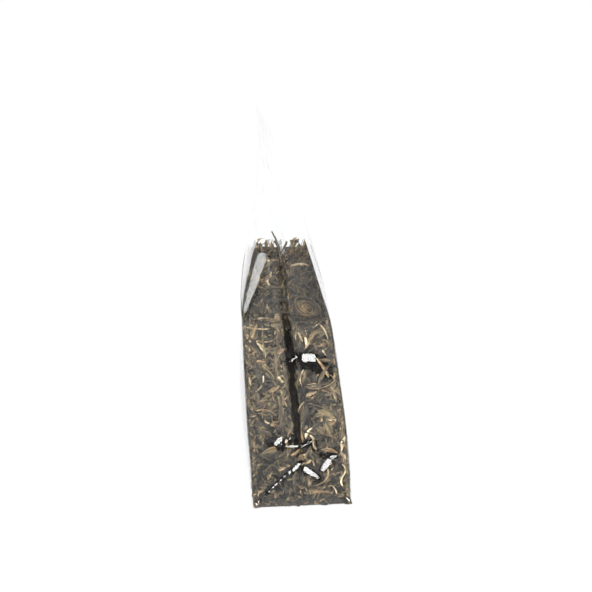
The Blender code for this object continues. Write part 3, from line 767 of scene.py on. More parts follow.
def clear_selection() -> None:
    """Leaves nothing selected, in object mode."""
    if bpy.context.object and bpy.context.object.mode != "OBJECT":
        bpy.ops.object.mode_set(mode="OBJECT")
    bpy.ops.object.select_all(action="DESELECT")


def pick(piece: bpy.types.Object) -> None:
    """Makes a piece the only one selected."""
    clear_selection()
    piece.select_set(True)
    bpy.context.view_layer.objects.active = piece


def shade_smooth(piece: bpy.types.Object, degrees: float) -> None:
    """Smooth shading, with sharp edges above an angle."""
    pick(piece)
    bpy.ops.object.shade_smooth_by_angle(angle=math.radians(degrees))


def settle(piece: bpy.types.Object, name: str, finish: bpy.types.Material,
           stands_for: Sequence[str]) -> bpy.types.Object:
    """Names and finishes a piece, and gives it to the frame.

    Args:
        piece: The piece, at the origin.
        name: Its name.
        finish: Its material.
        stands_for: CAD nodes that it replaces.

    Returns:
        The piece.
    """
    piece.name = name
    piece.data.name = name
    piece.data.materials.clear()
    piece.data.materials.append(finish)
    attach(piece, BODY)
    if stands_for:
        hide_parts(*stands_for)
    LOG.info("%s: %d faces", name, len(piece.data.polygons))
    return piece


# The film

@dataclass
class FilmBag:
    """The one sheet of clear film, folded to the bag.

    Attributes:
        form: The bag's form.
        wall: Thickness of the visible wall.
        half_columns: Columns over a near gusset half up to its crease.
        crease_columns: Columns in half a crease.
        far_columns: Columns over a far gusset half up to its crease.
        panel_columns: Columns over a wide panel.
        rows: Where the rows lie: upper end of each stretch, and its count of rows.
    """

    form: BagForm = FORM
    wall: float = 0.0001
    half_columns: int = 54
    crease_columns: int = 6
    far_columns: int = 7
    panel_columns: int = 18
    rows: tuple[tuple[float, int], ...] = (
        (0.014, 18), (0.050, 76), (0.088, 24), (0.106, 34), (0.217, 72), (0.228, 14),
    )

    def levels(self) -> np.ndarray:
        """Heights of the rows: each stretch's upper end, and its count of rows."""
        heights = [np.array([0.0])]
        low = 0.0
        for high, count in self.rows:
            heights.append(np.linspace(low, high, count + 1)[1:])
            low = high
        return np.concatenate(heights)

    def gusset_columns(self, z: np.ndarray, end: int, count: int) -> list[np.ndarray]:
        """Columns of a gusset, from its front to its back corner, each (x, y) by height."""
        form = self.form
        front, middle, _, lip, _ = form.gusset(z, end)
        start = form.gusset_start(z, front)
        shares = [lip * k / count for k in range(count + 1)]
        shares += [mix(lip, 1.0, k / self.crease_columns)
                   for k in range(1, self.crease_columns + 1)]
        xs = [mix(start, middle - form.fold / 2, u) for u in shares]
        xs += [2 * middle - x for x in reversed(xs)]
        columns = []
        for x in xs:
            y = end * (form.half_width - form.gusset_in(x, z, end))
            columns.append(np.stack([x, y, z], axis=1))
        return columns

    def panel_columns_of(self, z: np.ndarray, back: bool) -> list[np.ndarray]:
        """Columns of a wide panel, near to far."""
        form = self.form
        shares = list(np.linspace(0.0, 1.0, self.panel_columns + 1))
        edge = form.seam_width / 2 / form.base_width
        if back:
            shares += [0.5 - edge - 0.001, 0.5 - edge, 0.5 + edge, 0.5 + edge + 0.001]
            shares.sort()
        columns = []
        for share in shares:
            y = np.full_like(z, mix(-form.half_width, form.half_width, share))
            if share in (0.0, 1.0):
                y -= np.sign(y) * form.corner * form.openness(z)
            x = form.panel_x(z, np.full_like(z, share), back)
            if back and abs(share - 0.5) < edge + 0.0005:
                x = x + self.wall
            columns.append(np.stack([x, y, z], axis=1))
        return columns

    def columns(self) -> list[np.ndarray]:
        """All columns round the bag, against the clock seen from above."""
        z = self.levels()
        near = self.gusset_columns(z, NEAR, self.half_columns)
        far = self.gusset_columns(z, FAR, self.far_columns)
        back = self.panel_columns_of(z, True)
        front = self.panel_columns_of(z, False)
        return near + back + far[::-1] + front[::-1]

    def wrinkles(self, points: np.ndarray) -> np.ndarray:
        """Heights of the soft wrinkles at points."""
        form = self.form
        z = points[:, 2]
        free = smooth_step((z - form.fill_height) / 0.03) * form.openness(z) ** 0.5
        long_folds = np.array([noise.noise((x * 90, y * 90, h * 22)) for x, y, h in points])
        crinkles = np.array([noise.noise((h * 150, x * 130, y * 130)) for x, y, h in points])
        height = 0.00012 * crinkles * (1 - free)
        height += free * (0.0006 * long_folds + 0.00018 * crinkles)
        near = points[:, 1] < 0.0
        taut = np.where(near, form.dent_flat(points[:, 0], z), 0.0)
        held = (z < 0.001) | (z > form.seal_foot - 0.004)
        return np.where(held, 0.0, height * (1 - taut))

    def make(self, finish: bpy.types.Material) -> bpy.types.Object:
        """Folds the sheet and gives it its wall.

        Args:
            finish: The film's material.

        Returns:
            The film piece.
        """
        columns = self.columns()
        rows = len(columns[0])
        clear_selection()
        bpy.ops.mesh.primitive_grid_add(x_subdivisions=len(columns), y_subdivisions=rows - 1,
                                        size=1.0)
        piece = bpy.context.object
        grid = np.empty(len(piece.data.vertices) * 3)
        piece.data.vertices.foreach_get("co", grid)
        grid = grid.reshape(-1, 3)
        i = np.rint((grid[:, 0] + 0.5) * len(columns)).astype(int) % len(columns)
        j = np.rint((grid[:, 1] + 0.5) * (rows - 1)).astype(int)
        table = np.stack(columns)
        piece.data.vertices.foreach_set("co", table[i, j].ravel())
        piece.data.update()
        bpy.ops.object.mode_set(mode="EDIT")
        bpy.ops.mesh.select_all(action="SELECT")
        bpy.ops.mesh.remove_doubles(threshold=1e-6)
        bpy.ops.object.mode_set(mode="OBJECT")
        points = np.array([v.co[:] for v in piece.data.vertices])
        normals = np.array([v.normal[:] for v in piece.data.vertices])
        points += normals * self.wrinkles(points)[:, None]
        # Painted reflection: the film's mirror share per point, with painted shade and painted
        # highlights.
        sheen = piece.data.attributes.new("sheen", "FLOAT", "POINT")
        sheen.data.foreach_set("value", self.form.sheen(*points.T))
        piece.data.vertices.foreach_set("co", points.ravel())
        self.close_base(piece)
        wall = piece.modifiers.new("film_wall", "SOLIDIFY")
        wall.thickness = self.wall
        wall.offset = 1.0
        bpy.ops.object.modifier_apply(modifier=wall.name)
        shade_smooth(piece, 50.0)
        return settle(piece, "film_shell", finish, ("film_bag",))

    def close_base(self, piece: bpy.types.Object) -> None:
        """Fills the flat base."""
        pick(piece)
        bpy.ops.object.mode_set(mode="EDIT")
        bpy.ops.mesh.select_all(action="DESELECT")
        bpy.ops.object.mode_set(mode="OBJECT")
        for edge in piece.data.edges:
            edge.select = all(piece.data.vertices[v].co.z < 1e-6 for v in edge.vertices)
        bpy.ops.object.mode_set(mode="EDIT")
        bpy.ops.mesh.select_mode(type="EDGE")
        bpy.ops.mesh.edge_face_add()
        bpy.ops.mesh.select_all(action="SELECT")
        bpy.ops.mesh.normals_make_consistent(inside=False)
        bpy.ops.object.mode_set(mode="OBJECT")


# Leaves

@dataclass(frozen=True)
class LeafPattern:
    """One shape of leaf or stem, modelled once, with length, width and thickness 1.

    Attributes:
        name: Its name.
        sides: Corners of its section.
        widths: Share of its full width at each ring along it.
        furrow: How far alternate corners are pressed in.
        twist: Turns over its length.
        bow: How far its middle lies to the side.
    """

    name: str
    sides: int
    widths: tuple[float, ...]
    furrow: float
    twist: float
    bow: float = 0.0

    def model(self, fine: bool = False) -> tuple[np.ndarray, list[tuple[int, ...]]]:
        """Models the shape by extruding a ring of its section.

        Args:
            fine: Whether it is smoothed into more faces.

        Returns:
            Its points and its faces.
        """
        clear_selection()
        bpy.ops.mesh.primitive_circle_add(vertices=self.sides, radius=0.5, fill_type="NGON",
                                          rotation=(0.0, math.pi / 2, 0.0))
        piece = bpy.context.object
        bpy.ops.object.transform_apply(location=True, rotation=True, scale=True)
        for k, vertex in enumerate(piece.data.vertices):
            vertex.select = k % 2 == 1
        bpy.ops.object.mode_set(mode="EDIT")
        bpy.ops.mesh.select_mode(type="VERT")
        bpy.ops.mesh.select_all(action="DESELECT")
        bpy.ops.object.mode_set(mode="OBJECT")
        for k, vertex in enumerate(piece.data.vertices):
            vertex.select = k % 2 == 1
        bpy.ops.object.mode_set(mode="EDIT")
        inset = 1 - self.furrow
        bpy.ops.transform.resize(value=(1.0, inset, inset), center_override=(0, 0, 0))
        bpy.ops.mesh.select_all(action="SELECT")
        first = self.widths[0]
        bpy.ops.transform.resize(value=(1.0, first, first), center_override=(0, 0, 0))
        step = 1 / (len(self.widths) - 1)
        for k, (before, width) in enumerate(zip(self.widths, self.widths[1:]), 1):
            middle = (k * step, 0.0, 0.0)
            bpy.ops.mesh.extrude_region_move(TRANSFORM_OT_translate={"value": (step, 0, 0)})
            share = width / before
            bpy.ops.transform.resize(value=(1.0, share, share), center_override=middle)
            bpy.ops.transform.rotate(value=self.twist * step * math.tau, orient_axis="X",
                                     center_override=middle)
        bpy.ops.mesh.select_all(action="SELECT")
        bpy.ops.mesh.normals_make_consistent(inside=False)
        bpy.ops.object.mode_set(mode="OBJECT")
        if fine:
            rounding = piece.modifiers.new("rounding", "SUBSURF")
            rounding.levels = rounding.render_levels = 1
            bpy.ops.object.modifier_apply(modifier=rounding.name)
        mesh = piece.data
        points = np.array([v.co[:] for v in mesh.vertices])
        faces = [tuple(p.vertices) for p in mesh.polygons]
        points[:, 1] += self.bow * np.sin(math.pi * points[:, 0])
        bpy.data.objects.remove(piece, do_unlink=True)
        return points, faces


PATTERNS = (
    LeafPattern("flat_strip", 6, (0.3, 0.75, 1.0, 0.92, 1.0, 0.7, 0.2), 0.25, 0.0),
    LeafPattern("ragged_strip", 6, (0.5, 0.9, 0.7, 1.0, 0.65, 0.9, 0.4), 0.35, 0.12),
    LeafPattern("twisted_leaf", 6, (0.15, 0.6, 0.95, 1.0, 0.8, 0.5, 0.12), 0.45, 0.6),
    LeafPattern("tight_twist", 5, (0.2, 0.7, 1.0, 0.85, 1.0, 0.75, 0.25), 0.4, 1.1),
    LeafPattern("folded_leaf", 8, (0.1, 0.7, 1.0, 1.0, 0.75, 0.1), 0.55, 0.1),
    LeafPattern("broad_leaf", 8, (0.15, 0.65, 0.95, 1.0, 0.85, 0.45, 0.08), 0.3, 0.05),
    LeafPattern("broken_flake", 6, (0.65, 1.0, 0.85, 0.5), 0.3, 0.08),
    LeafPattern("torn_flake", 5, (0.3, 1.0, 0.6, 0.8), 0.25, 0.0),
    LeafPattern("hooked_strip", 6, (0.2, 0.8, 1.0, 0.8, 0.6, 0.35, 0.15), 0.4, 0.3, 0.4),
    LeafPattern("stem", 5, (0.75, 1.0, 0.85, 0.9, 1.0, 0.8, 0.6), 0.2, 0.3),
    LeafPattern("bud", 8, (0.35, 0.8, 1.0, 0.95, 0.7, 0.25), 0.35, 0.15),
    LeafPattern("wedge", 6, (0.08, 0.35, 0.65, 1.0, 0.9), 0.3, 0.02),
)


@dataclass
class LeafHeap:
    """Leaves gathered into one mesh."""

    points: list[np.ndarray] = field(default_factory=list)
    faces: list[tuple[int, ...]] = field(default_factory=list)
    grain: list[np.ndarray] = field(default_factory=list)
    tones: list[np.ndarray] = field(default_factory=list)
    count: int = 0

    def take(self, points: np.ndarray, faces: Sequence[tuple[int, ...]], grain: np.ndarray,
             tone: np.ndarray) -> None:
        """Adds one leaf's points, faces, grain coordinates and tones."""
        self.points.append(points)
        self.faces.extend(tuple(v + self.count for v in face) for face in faces)
        self.grain.append(grain)
        self.tones.append(tone)
        self.count += len(points)

    def to_piece(self, name: str) -> bpy.types.Object:
        """Makes the heap one object.

        Args:
            name: Name of the object.

        Returns:
            The object, with its grain and tone attributes.
        """
        mesh = bpy.data.meshes.new(name)
        mesh.from_pydata(np.concatenate(self.points).tolist(), [], self.faces)
        grain = mesh.attributes.new("grain", "FLOAT_VECTOR", "POINT")
        grain.data.foreach_set("vector", np.concatenate(self.grain).ravel())
        tone = mesh.attributes.new("tone", "FLOAT", "POINT")
        tone.data.foreach_set("value", np.concatenate(self.tones))
        mesh.update()
        piece = bpy.data.objects.new(name, mesh)
        bpy.context.scene.collection.objects.link(piece)
        shade_smooth(piece, 50.0)
        return piece


@dataclass(frozen=True)
class Wall:
    """A side of the tea that leaves are laid on.

    Attributes:
        name: Its name.
        place: Turns arrays (across, up, depth) into points.
        low: Least across, by up.
        high: Most across, by up.
        top: Most up.
        foot: Least up.
    """

    name: str
    place: Callable[[np.ndarray, np.ndarray, np.ndarray], np.ndarray]
    low: Callable[[np.ndarray], np.ndarray]
    high: Callable[[np.ndarray], np.ndarray]
    foot: float
    top: float
    margin: float = 0.0006
    foot_margin: float = 0.0002

    def lay(self, across: np.ndarray, up: np.ndarray, depth: np.ndarray) -> np.ndarray:
        """Points on the wall, held inside its edges."""
        up = np.clip(up, self.foot + self.foot_margin, self.top - self.margin)
        across = np.clip(across, self.low(up) + self.margin, self.high(up) - self.margin)
        return self.place(across, up, depth)


RIM_BEND = 0.0016  # radius of the tea's edge where a side turns into the heap's top


def over_rim(up: np.ndarray, rim: float) -> tuple[np.ndarray, np.ndarray]:
    """Turns a height that runs over the heap's edge into a height and a way in.

    Args:
        up: Distance up the side and on over its top edge.
        rim: Height of the edge.

    Returns:
        The height, and how far in over the top.
    """
    past = np.maximum(up - (rim - RIM_BEND), 0.0)
    turn = np.minimum(past / RIM_BEND, math.pi / 2)
    further = np.maximum(past - RIM_BEND * math.pi / 2, 0.0)
    height = np.minimum(up, rim - RIM_BEND) + RIM_BEND * np.sin(turn)
    return height, RIM_BEND * (1 - np.cos(turn)) + further


def gusset_wall(name: str, end: int, back: bool, over: float = 0.006) -> Wall:
    """One half of a gusset, as a wall with across along X and up along Z.

    Args:
        name: Its name.
        end: NEAR or FAR.
        back: Whether it is the half by the back panel.
        over: How far its leaves run on over the heap's edge.

    Returns:
        The wall.
    """
    form = FORM
    rim = form.fill_height + 0.0005

    def gap(up: np.ndarray) -> np.ndarray:
        ragged = 0.6 + 0.28 * np.sin(up * 410 + 2 * back) + 0.2 * np.sin(up * 1130 + back)
        opened = smooth_step((up - 0.030) / 0.022)
        return mix(-0.004, form.crease_half * ragged, opened)

    def place(across: np.ndarray, up: np.ndarray, depth: np.ndarray) -> np.ndarray:
        height, way_in = over_rim(up, rim)
        inward = form.gusset_in(across, height, end) + way_in
        share = np.clip(way_in / RIM_BEND, 0.0, 1.0)
        y = end * (form.half_width - inward - depth * (1 - share))
        return np.stack([across, y, height - depth * share], axis=-1)

    def low(up: np.ndarray) -> np.ndarray:
        front, middle, _, _, _ = form.gusset(np.minimum(up, rim), end)
        return middle + gap(up) if back else front + form.corner

    def high(up: np.ndarray) -> np.ndarray:
        _, middle, _, _, _ = form.gusset(np.minimum(up, rim), end)
        return form.back_edge(np.minimum(up, rim)) - form.corner if back else middle - gap(up)

    return Wall(name, place, low, high, 0.0, rim + over)


def panel_wall(name: str, back: bool, over: float = 0.002, foot: float = 0.0) -> Wall:
    """A wide panel, as a wall with across along Y and up along Z.

    Args:
        name: Its name.
        back: Whether it is the back panel.
        over: How far it runs on above the tea's edge.
        foot: Where it begins.

    Returns:
        The wall.
    """
    form = FORM
    side = 1 if back else -1

    def place(across: np.ndarray, up: np.ndarray, depth: np.ndarray) -> np.ndarray:
        share = (across + form.half_width) / form.base_width
        x = form.panel_x(up, share, back) - side * depth
        return np.stack([x, across, up], axis=-1)

    def low(up: np.ndarray) -> np.ndarray:
        return np.full_like(up, -form.half_width)

    def high(up: np.ndarray) -> np.ndarray:
        return np.full_like(up, form.half_width)

    return Wall(name, place, low, high, foot, form.fill_height + over)


def heap_wall(name: str = "top") -> Wall:
    """The heap's top, as a wall with across along X, up along Y and depth downwards.

    Args:
        name: Its name. With "top_front" or "top_back" it is one side of the groove that the
            gusset's crease presses into the heap.

    Returns:
        The wall.
    """
    form = FORM
    rim = np.array(form.fill_height)
    middles = [float(form.gusset(rim, end)[1]) for end in (NEAR, FAR)]
    gap = 0.5 * form.crease_half

    def groove(up: np.ndarray) -> np.ndarray:
        return mix(middles[0], middles[1], (up + form.half_width) / form.base_width)

    def edges(up: np.ndarray) -> tuple[np.ndarray, np.ndarray]:
        share = (up + form.half_width) / form.base_width
        flat = np.full_like(up, form.fill_height + 0.004)
        return form.panel_x(flat, share, False), form.panel_x(flat, share, True)

    def place(across: np.ndarray, up: np.ndarray, depth: np.ndarray) -> np.ndarray:
        z = form.heap_top(across, up) + form.leaf_layer - depth
        return np.stack([across, up, z], axis=-1)

    def low(up: np.ndarray) -> np.ndarray:
        return groove(up) + gap if name == "top_back" else edges(up)[0] + 0.0012

    def high(up: np.ndarray) -> np.ndarray:
        return groove(up) - gap if name == "top_front" else edges(up)[1] - 0.0012

    reach = form.half_width - 0.002
    return Wall(name, place, low, high, -reach, reach)


def rim_wall() -> Wall:
    """Above the far gusset's rim, where leaves stand up against the film."""
    form = FORM

    def place(across: np.ndarray, up: np.ndarray, depth: np.ndarray) -> np.ndarray:
        y = form.half_width - form.gusset_in(across, up, FAR) - depth
        return np.stack([across, y, up], axis=-1)

    def low(up: np.ndarray) -> np.ndarray:
        return form.front_edge(up, FAR) + 0.0024

    def high(up: np.ndarray) -> np.ndarray:
        return form.back_edge(up) - 0.0012

    return Wall("rim", place, low, high, form.fill_height - 0.010, form.fill_height + 0.006)


@dataclass(frozen=True)
class Lay:
    """How leaves of one pattern lie on their wall, each value an array over the leaves.

    Attributes:
        across: Place of the middle across the wall.
        up: Place of the middle up the wall.
        angle: Direction of the length, radians.
        length: Length.
        width: Width.
        thickness: Thickness.
        depth: How far the middle lies in from the film.
        bend: How far the middle lies off the line between the ends.
        wave: Size of the S bend.
        ripple: How far the leaf ripples in depth.
        tone: Place on the scale of leaf colours, lowered as painted shade in the near dents.
        seed: Sets a leaf's grain apart from others'.
    """

    across: np.ndarray
    up: np.ndarray
    angle: np.ndarray
    length: np.ndarray
    width: np.ndarray
    thickness: np.ndarray
    depth: np.ndarray
    bend: np.ndarray
    wave: np.ndarray
    ripple: np.ndarray
    tone: np.ndarray
    seed: np.ndarray


CLEAR = 0.00038


def lay_leaves(heap: LeafHeap, wall: Wall, shape: tuple[np.ndarray, list], lay: Lay) -> None:
    """Lays leaves of one pattern on a wall.

    Args:
        heap: Takes the leaves.
        wall: Where they lie.
        shape: Points and faces of their pattern.
        lay: How they lie.
    """
    points, faces = shape
    along, across, thick = (points[None, :, k] for k in range(3))
    one = {name: value[:, None] for name, value in vars(lay).items()}
    s = along - 0.5
    off = one["bend"] * (1 - 4 * s**2) + one["wave"] * np.sin(math.tau * along)
    slope = -8 * one["bend"] * s + one["wave"] * math.tau * np.cos(math.tau * along)
    turn = np.arctan2(slope, one["length"])
    run = s * one["length"] - np.sin(turn) * across * one["width"]
    side = off + np.cos(turn) * across * one["width"]
    c, si = np.cos(one["angle"]), np.sin(one["angle"])
    a = one["across"] + run * c - side * si
    b = one["up"] + run * si + side * c
    ripple = one["ripple"] * np.sin(along * 9.0 + one["seed"] * 40.0 + across * 3.0)
    depth = np.maximum(one["depth"] + thick * one["thickness"] + ripple, CLEAR)
    placed = wall.lay(a, b, depth)
    grain = np.stack([along * one["length"], across * one["width"],
                      one["seed"] * 60.0 + 0 * along], axis=-1)
    tone = one["tone"] + 0 * along
    for k in range(len(lay.up)):
        heap.take(placed[k], faces, grain[k], tone[k])


def spot_on(face: str, u: float, v: float) -> tuple[float, float]:
    """Where a share across and up a face lies, by the same rule as the solids' leaves.

    Args:
        face: Name of the wall.
        u: Share across.
        v: Share up.

    Returns:
        (across, up) on the wall, in metres.
    """
    form = FORM
    clear = form.leaf_layer + form.spacing
    if face in ("front", "back"):
        return mix(-form.half_width + clear, form.half_width - clear, u), v * form.fill_height
    if face == "top":
        z = np.array(form.fill_height - form.leaf_layer - form.heap_rise)
        groove = float(form.gusset(z, NEAR)[4])
        y = mix(-1, 1, v) * (form.half_width - groove - 2 * form.leaf_layer)
        share = (y + form.half_width) / form.base_width
        front = mix(float(form.front_edge(z, NEAR)), float(form.front_edge(z, FAR)), share)
        inset = 2 * form.leaf_layer
        return mix(front + inset, float(form.back_edge(z)) - inset, u), y
    z = np.array(v * form.fill_height)
    end = NEAR if face.startswith("near") else FAR
    front, _, half, _, _ = (float(value) for value in form.gusset(z, end))
    room = half - 2 * clear - form.crease_half
    if face.endswith("back"):
        return float(form.back_edge(z)) - clear - room * (1 - u), float(z)
    return front + clear + room * u, float(z)


@dataclass(frozen=True)
class NamedLeaf:
    """A leaf or stem that can be told apart, at the place of its solid.

    Attributes:
        name: Name of the solid that it stands for.
        face: The wall it lies on.
        ends: Three (share across, share up) points of its line.
        width: Its width, mm.
        pattern: Its shape.
        tone: Its colour.
        wave: Its S bend, as a share of its length.
        thickness: Share of its width.
        tint: Moves its tone up or down.
    """

    name: str
    face: str
    ends: tuple[tuple[float, float], ...]
    width: float
    pattern: str
    tone: Tone
    wave: float = 0.0
    thickness: float = 0.3
    tint: float = 0.0

    @property
    def slot(self) -> str:
        """The record's slot for its colour."""
        return {
            Tone.DARK: "dark_leaf", Tone.BROWN: "brown_leaf", Tone.KHAKI: "khaki_leaf",
            Tone.RED: "reddish_leaf", Tone.AMBER: "amber_stem", Tone.TAN: "tan_stem",
            Tone.CREAM: "cream_stem",
        }[self.tone]

    def lay(self, number: int) -> Lay:
        """How it lies on its wall."""
        first, middle, last = (Vector(spot_on(self.face, *end)) for end in self.ends)
        chord = last - first
        across = Vector((-chord.y, chord.x)).normalized()
        off = (middle - (first + last) / 2) / 2
        centre = (first + last) / 2 + chord.normalized() * off.dot(chord.normalized())
        width = self.width * MM
        values = {
            "across": centre.x, "up": centre.y, "angle": math.atan2(chord.y, chord.x),
            "length": chord.length, "width": width, "thickness": width * self.thickness,
            "depth": CLEAR + width * self.thickness / 4, "bend": off.dot(across),
            "wave": self.wave * chord.length, "ripple": 0.0001, "tone": self.tone.value + self.tint,
            "seed": 0.13 * number % 1.0,
        }
        return Lay(**{key: np.array([value]) for key, value in values.items()})


NAMED_LEAVES = (
    NamedLeaf("amber_stem_upright", "near_front", ((0.50, 0.98), (0.44, 0.90), (0.50, 0.79)),
              1.6, "stem", Tone.AMBER, tint=-0.2),
    NamedLeaf("tan_stem_upper", "near_front", ((0.02, 0.90), (0.18, 0.87), (0.36, 0.85)),
              1.2, "stem", Tone.CREAM, 0.03, tint=-0.45),
    NamedLeaf("curved_cream_stem", "near_front", ((0.15, 0.66), (0.44, 0.67), (0.42, 0.76)),
              1.6, "tight_twist", Tone.CREAM),
    NamedLeaf("orange_chip", "near_front", ((0.22, 0.60), (0.36, 0.60), (0.50, 0.61)),
              2.8, "torn_flake", Tone.AMBER),
    NamedLeaf("tan_bud", "near_front", ((0.82, 0.72), (0.92, 0.71), (0.99, 0.68)),
              3.6, "bud", Tone.TAN, 0.0, 0.5),
    NamedLeaf("khaki_leaf", "near_front", ((0.12, 0.29), (0.36, 0.34), (0.60, 0.33)),
              6.4, "wedge", Tone.KHAKI, 0.02, 0.2),
    NamedLeaf("dark_twist_left", "near_front", ((0.05, 0.55), (0.30, 0.50), (0.52, 0.42)),
              4.2, "twisted_leaf", Tone.DARK),
    NamedLeaf("dark_twist_middle", "near_front", ((0.78, 0.62), (0.92, 0.54), (0.80, 0.44)),
              3.6, "ragged_strip", Tone.BROWN),
    NamedLeaf("green_curl_left", "near_front", ((0.72, 0.40), (0.96, 0.37), (0.88, 0.27)),
              2.6, "hooked_strip", Tone.KHAKI),
    NamedLeaf("reddish_strip", "near_back", ((0.02, 0.075), (0.30, 0.085), (0.56, 0.07)),
              2.6, "flat_strip", Tone.RED),
    NamedLeaf("broad_dark_leaf", "near_back", ((0.02, 0.985), (0.30, 0.975), (0.62, 0.985)),
              3.0, "folded_leaf", Tone.DARK),
    NamedLeaf("small_tan_hook", "near_back", ((0.76, 0.985), (0.90, 0.95), (0.98, 0.90)),
              1.8, "hooked_strip", Tone.TAN),
    NamedLeaf("brown_diagonal_leaf", "near_back", ((0.42, 0.66), (0.66, 0.73), (0.96, 0.79)),
              4.0, "twisted_leaf", Tone.RED, tint=-0.26),
    NamedLeaf("tan_flake", "near_back", ((0.86, 0.66), (0.94, 0.62), (0.97, 0.57)),
              2.2, "broken_flake", Tone.TAN),
    NamedLeaf("green_grey_leaf", "near_back", ((0.52, 0.50), (0.66, 0.44), (0.70, 0.385)),
              5.6, "broad_leaf", Tone.KHAKI, 0.0, 0.22),
    NamedLeaf("pinkish_brown_leaf", "near_back", ((0.36, 0.32), (0.62, 0.33), (0.86, 0.29)),
              3.6, "folded_leaf", Tone.RED),
    NamedLeaf("pale_yellow_flake", "near_back", ((0.08, 0.40), (0.20, 0.37), (0.26, 0.32)),
              2.6, "ragged_strip", Tone.CREAM, 0.08),
    NamedLeaf("cream_s_stem", "near_back", ((0.90, 0.24), (1.00, 0.17), (0.90, 0.11)),
              2.2, "tight_twist", Tone.CREAM, 0.1),
    NamedLeaf("front_long_leaf", "front", ((0.06, 0.86), (0.16, 0.72), (0.14, 0.56)),
              4.2, "twisted_leaf", Tone.DARK),
    NamedLeaf("front_tan_stem", "front", ((0.22, 0.20), (0.34, 0.34), (0.48, 0.38)),
              1.8, "stem", Tone.TAN),
    NamedLeaf("front_olive_leaf", "front", ((0.30, 0.84), (0.42, 0.92), (0.56, 0.86)),
              5.0, "broad_leaf", Tone.KHAKI, 0.0, 0.22),
    NamedLeaf("front_brown_curl", "front", ((0.60, 0.62), (0.70, 0.74), (0.84, 0.66)),
              3.6, "hooked_strip", Tone.BROWN),
    NamedLeaf("front_cream_stem", "front", ((0.76, 0.24), (0.84, 0.36), (0.96, 0.40)),
              1.6, "stem", Tone.CREAM),
    NamedLeaf("front_red_leaf", "front", ((0.54, 0.10), (0.64, 0.20), (0.74, 0.08)),
              3.2, "folded_leaf", Tone.RED),
    NamedLeaf("back_long_leaf", "back", ((0.10, 0.80), (0.24, 0.90), (0.40, 0.84)),
              4.4, "twisted_leaf", Tone.DARK),
    NamedLeaf("back_amber_stem", "back", ((0.10, 0.30), (0.20, 0.44), (0.16, 0.58)),
              1.6, "stem", Tone.AMBER),
    NamedLeaf("back_olive_leaf", "back", ((0.44, 0.60), (0.58, 0.52), (0.70, 0.60)),
              5.0, "broad_leaf", Tone.KHAKI, 0.0, 0.22),
    NamedLeaf("back_brown_curl", "back", ((0.74, 0.86), (0.88, 0.92), (0.96, 0.76)),
              3.6, "hooked_strip", Tone.BROWN),
    NamedLeaf("back_cream_stem", "back", ((0.52, 0.20), (0.66, 0.28), (0.76, 0.16)),
              1.8, "stem", Tone.CREAM),
    NamedLeaf("back_red_leaf", "back", ((0.28, 0.12), (0.34, 0.24), (0.44, 0.10)),
              3.4, "folded_leaf", Tone.RED),
    NamedLeaf("far_dark_twist", "far_front", ((0.10, 0.84), (0.50, 0.76), (0.80, 0.86)),
              4.0, "twisted_leaf", Tone.DARK),
    NamedLeaf("far_tan_stem", "far_front", ((0.14, 0.30), (0.50, 0.38), (0.86, 0.32)),
              1.8, "stem", Tone.TAN),
    NamedLeaf("far_khaki_leaf", "far_back", ((0.14, 0.62), (0.50, 0.54), (0.84, 0.60)),
              4.6, "broad_leaf", Tone.KHAKI, 0.0, 0.22),
    NamedLeaf("far_brown_leaf", "far_back", ((0.16, 0.24), (0.50, 0.18), (0.86, 0.26)),
              3.4, "ragged_strip", Tone.BROWN),
    NamedLeaf("top_tan_leaf_left", "top", ((0.10, 0.94), (0.30, 0.99), (0.48, 0.92)),
              5.0, "folded_leaf", Tone.TAN),
    NamedLeaf("top_tan_leaf_right", "top", ((0.62, 0.80), (0.78, 0.88), (0.98, 0.84)),
              5.0, "broad_leaf", Tone.TAN),
    NamedLeaf("top_grey_leaf", "top", ((0.10, 0.62), (0.34, 0.70), (0.52, 0.60)),
              5.4, "twisted_leaf", Tone.DARK),
    NamedLeaf("top_brown_leaf", "top", ((0.60, 0.52), (0.76, 0.60), (0.96, 0.54)),
              4.8, "ragged_strip", Tone.BROWN),
    NamedLeaf("top_long_stem", "top", ((0.12, 0.40), (0.46, 0.46), (0.90, 0.36)),
              1.6, "stem", Tone.CREAM, tint=-0.4),
    NamedLeaf("top_olive_leaf", "top", ((0.10, 0.20), (0.34, 0.28), (0.60, 0.20)),
              5.0, "broad_leaf", Tone.KHAKI, tint=-0.25),
    NamedLeaf("top_near_leaf", "top", ((0.16, 0.04), (0.50, 0.08), (0.86, 0.03)),
              4.4, "ragged_strip", Tone.DARK, tint=0.24),
)


@dataclass(frozen=True)
class Mark:
    """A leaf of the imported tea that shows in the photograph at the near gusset.

    Attributes:
        x: Its middle across the bag, mm.
        z: Height of its middle, mm.
        length: Its length, mm.
        width: Its width, mm.
        turn: Direction of its length, degrees from level.
        tone: Place on the scale of leaf colours.
        pattern: Its shape.
        bend: How far its middle lies off the line between its ends, mm.
    """

    x: float
    z: float
    length: float
    width: float
    turn: float
    tone: float
    pattern: str
    bend: float = 0.0

    def lay(self) -> Lay:
        """How it lies on its wall."""
        thickness = self.width * MM * 0.3
        values = {
            "across": self.x * MM, "up": self.z * MM, "angle": math.radians(self.turn),
            "length": self.length * MM, "width": self.width * MM, "thickness": thickness,
            "depth": CLEAR + thickness / 3, "bend": self.bend * MM, "wave": 0.0,
            "ripple": 0.0001, "tone": self.tone, "seed": (self.x * 0.37 + self.z * 0.11) % 1.0,
        }
        return Lay(**{key: np.array([value]) for key, value in values.items()})


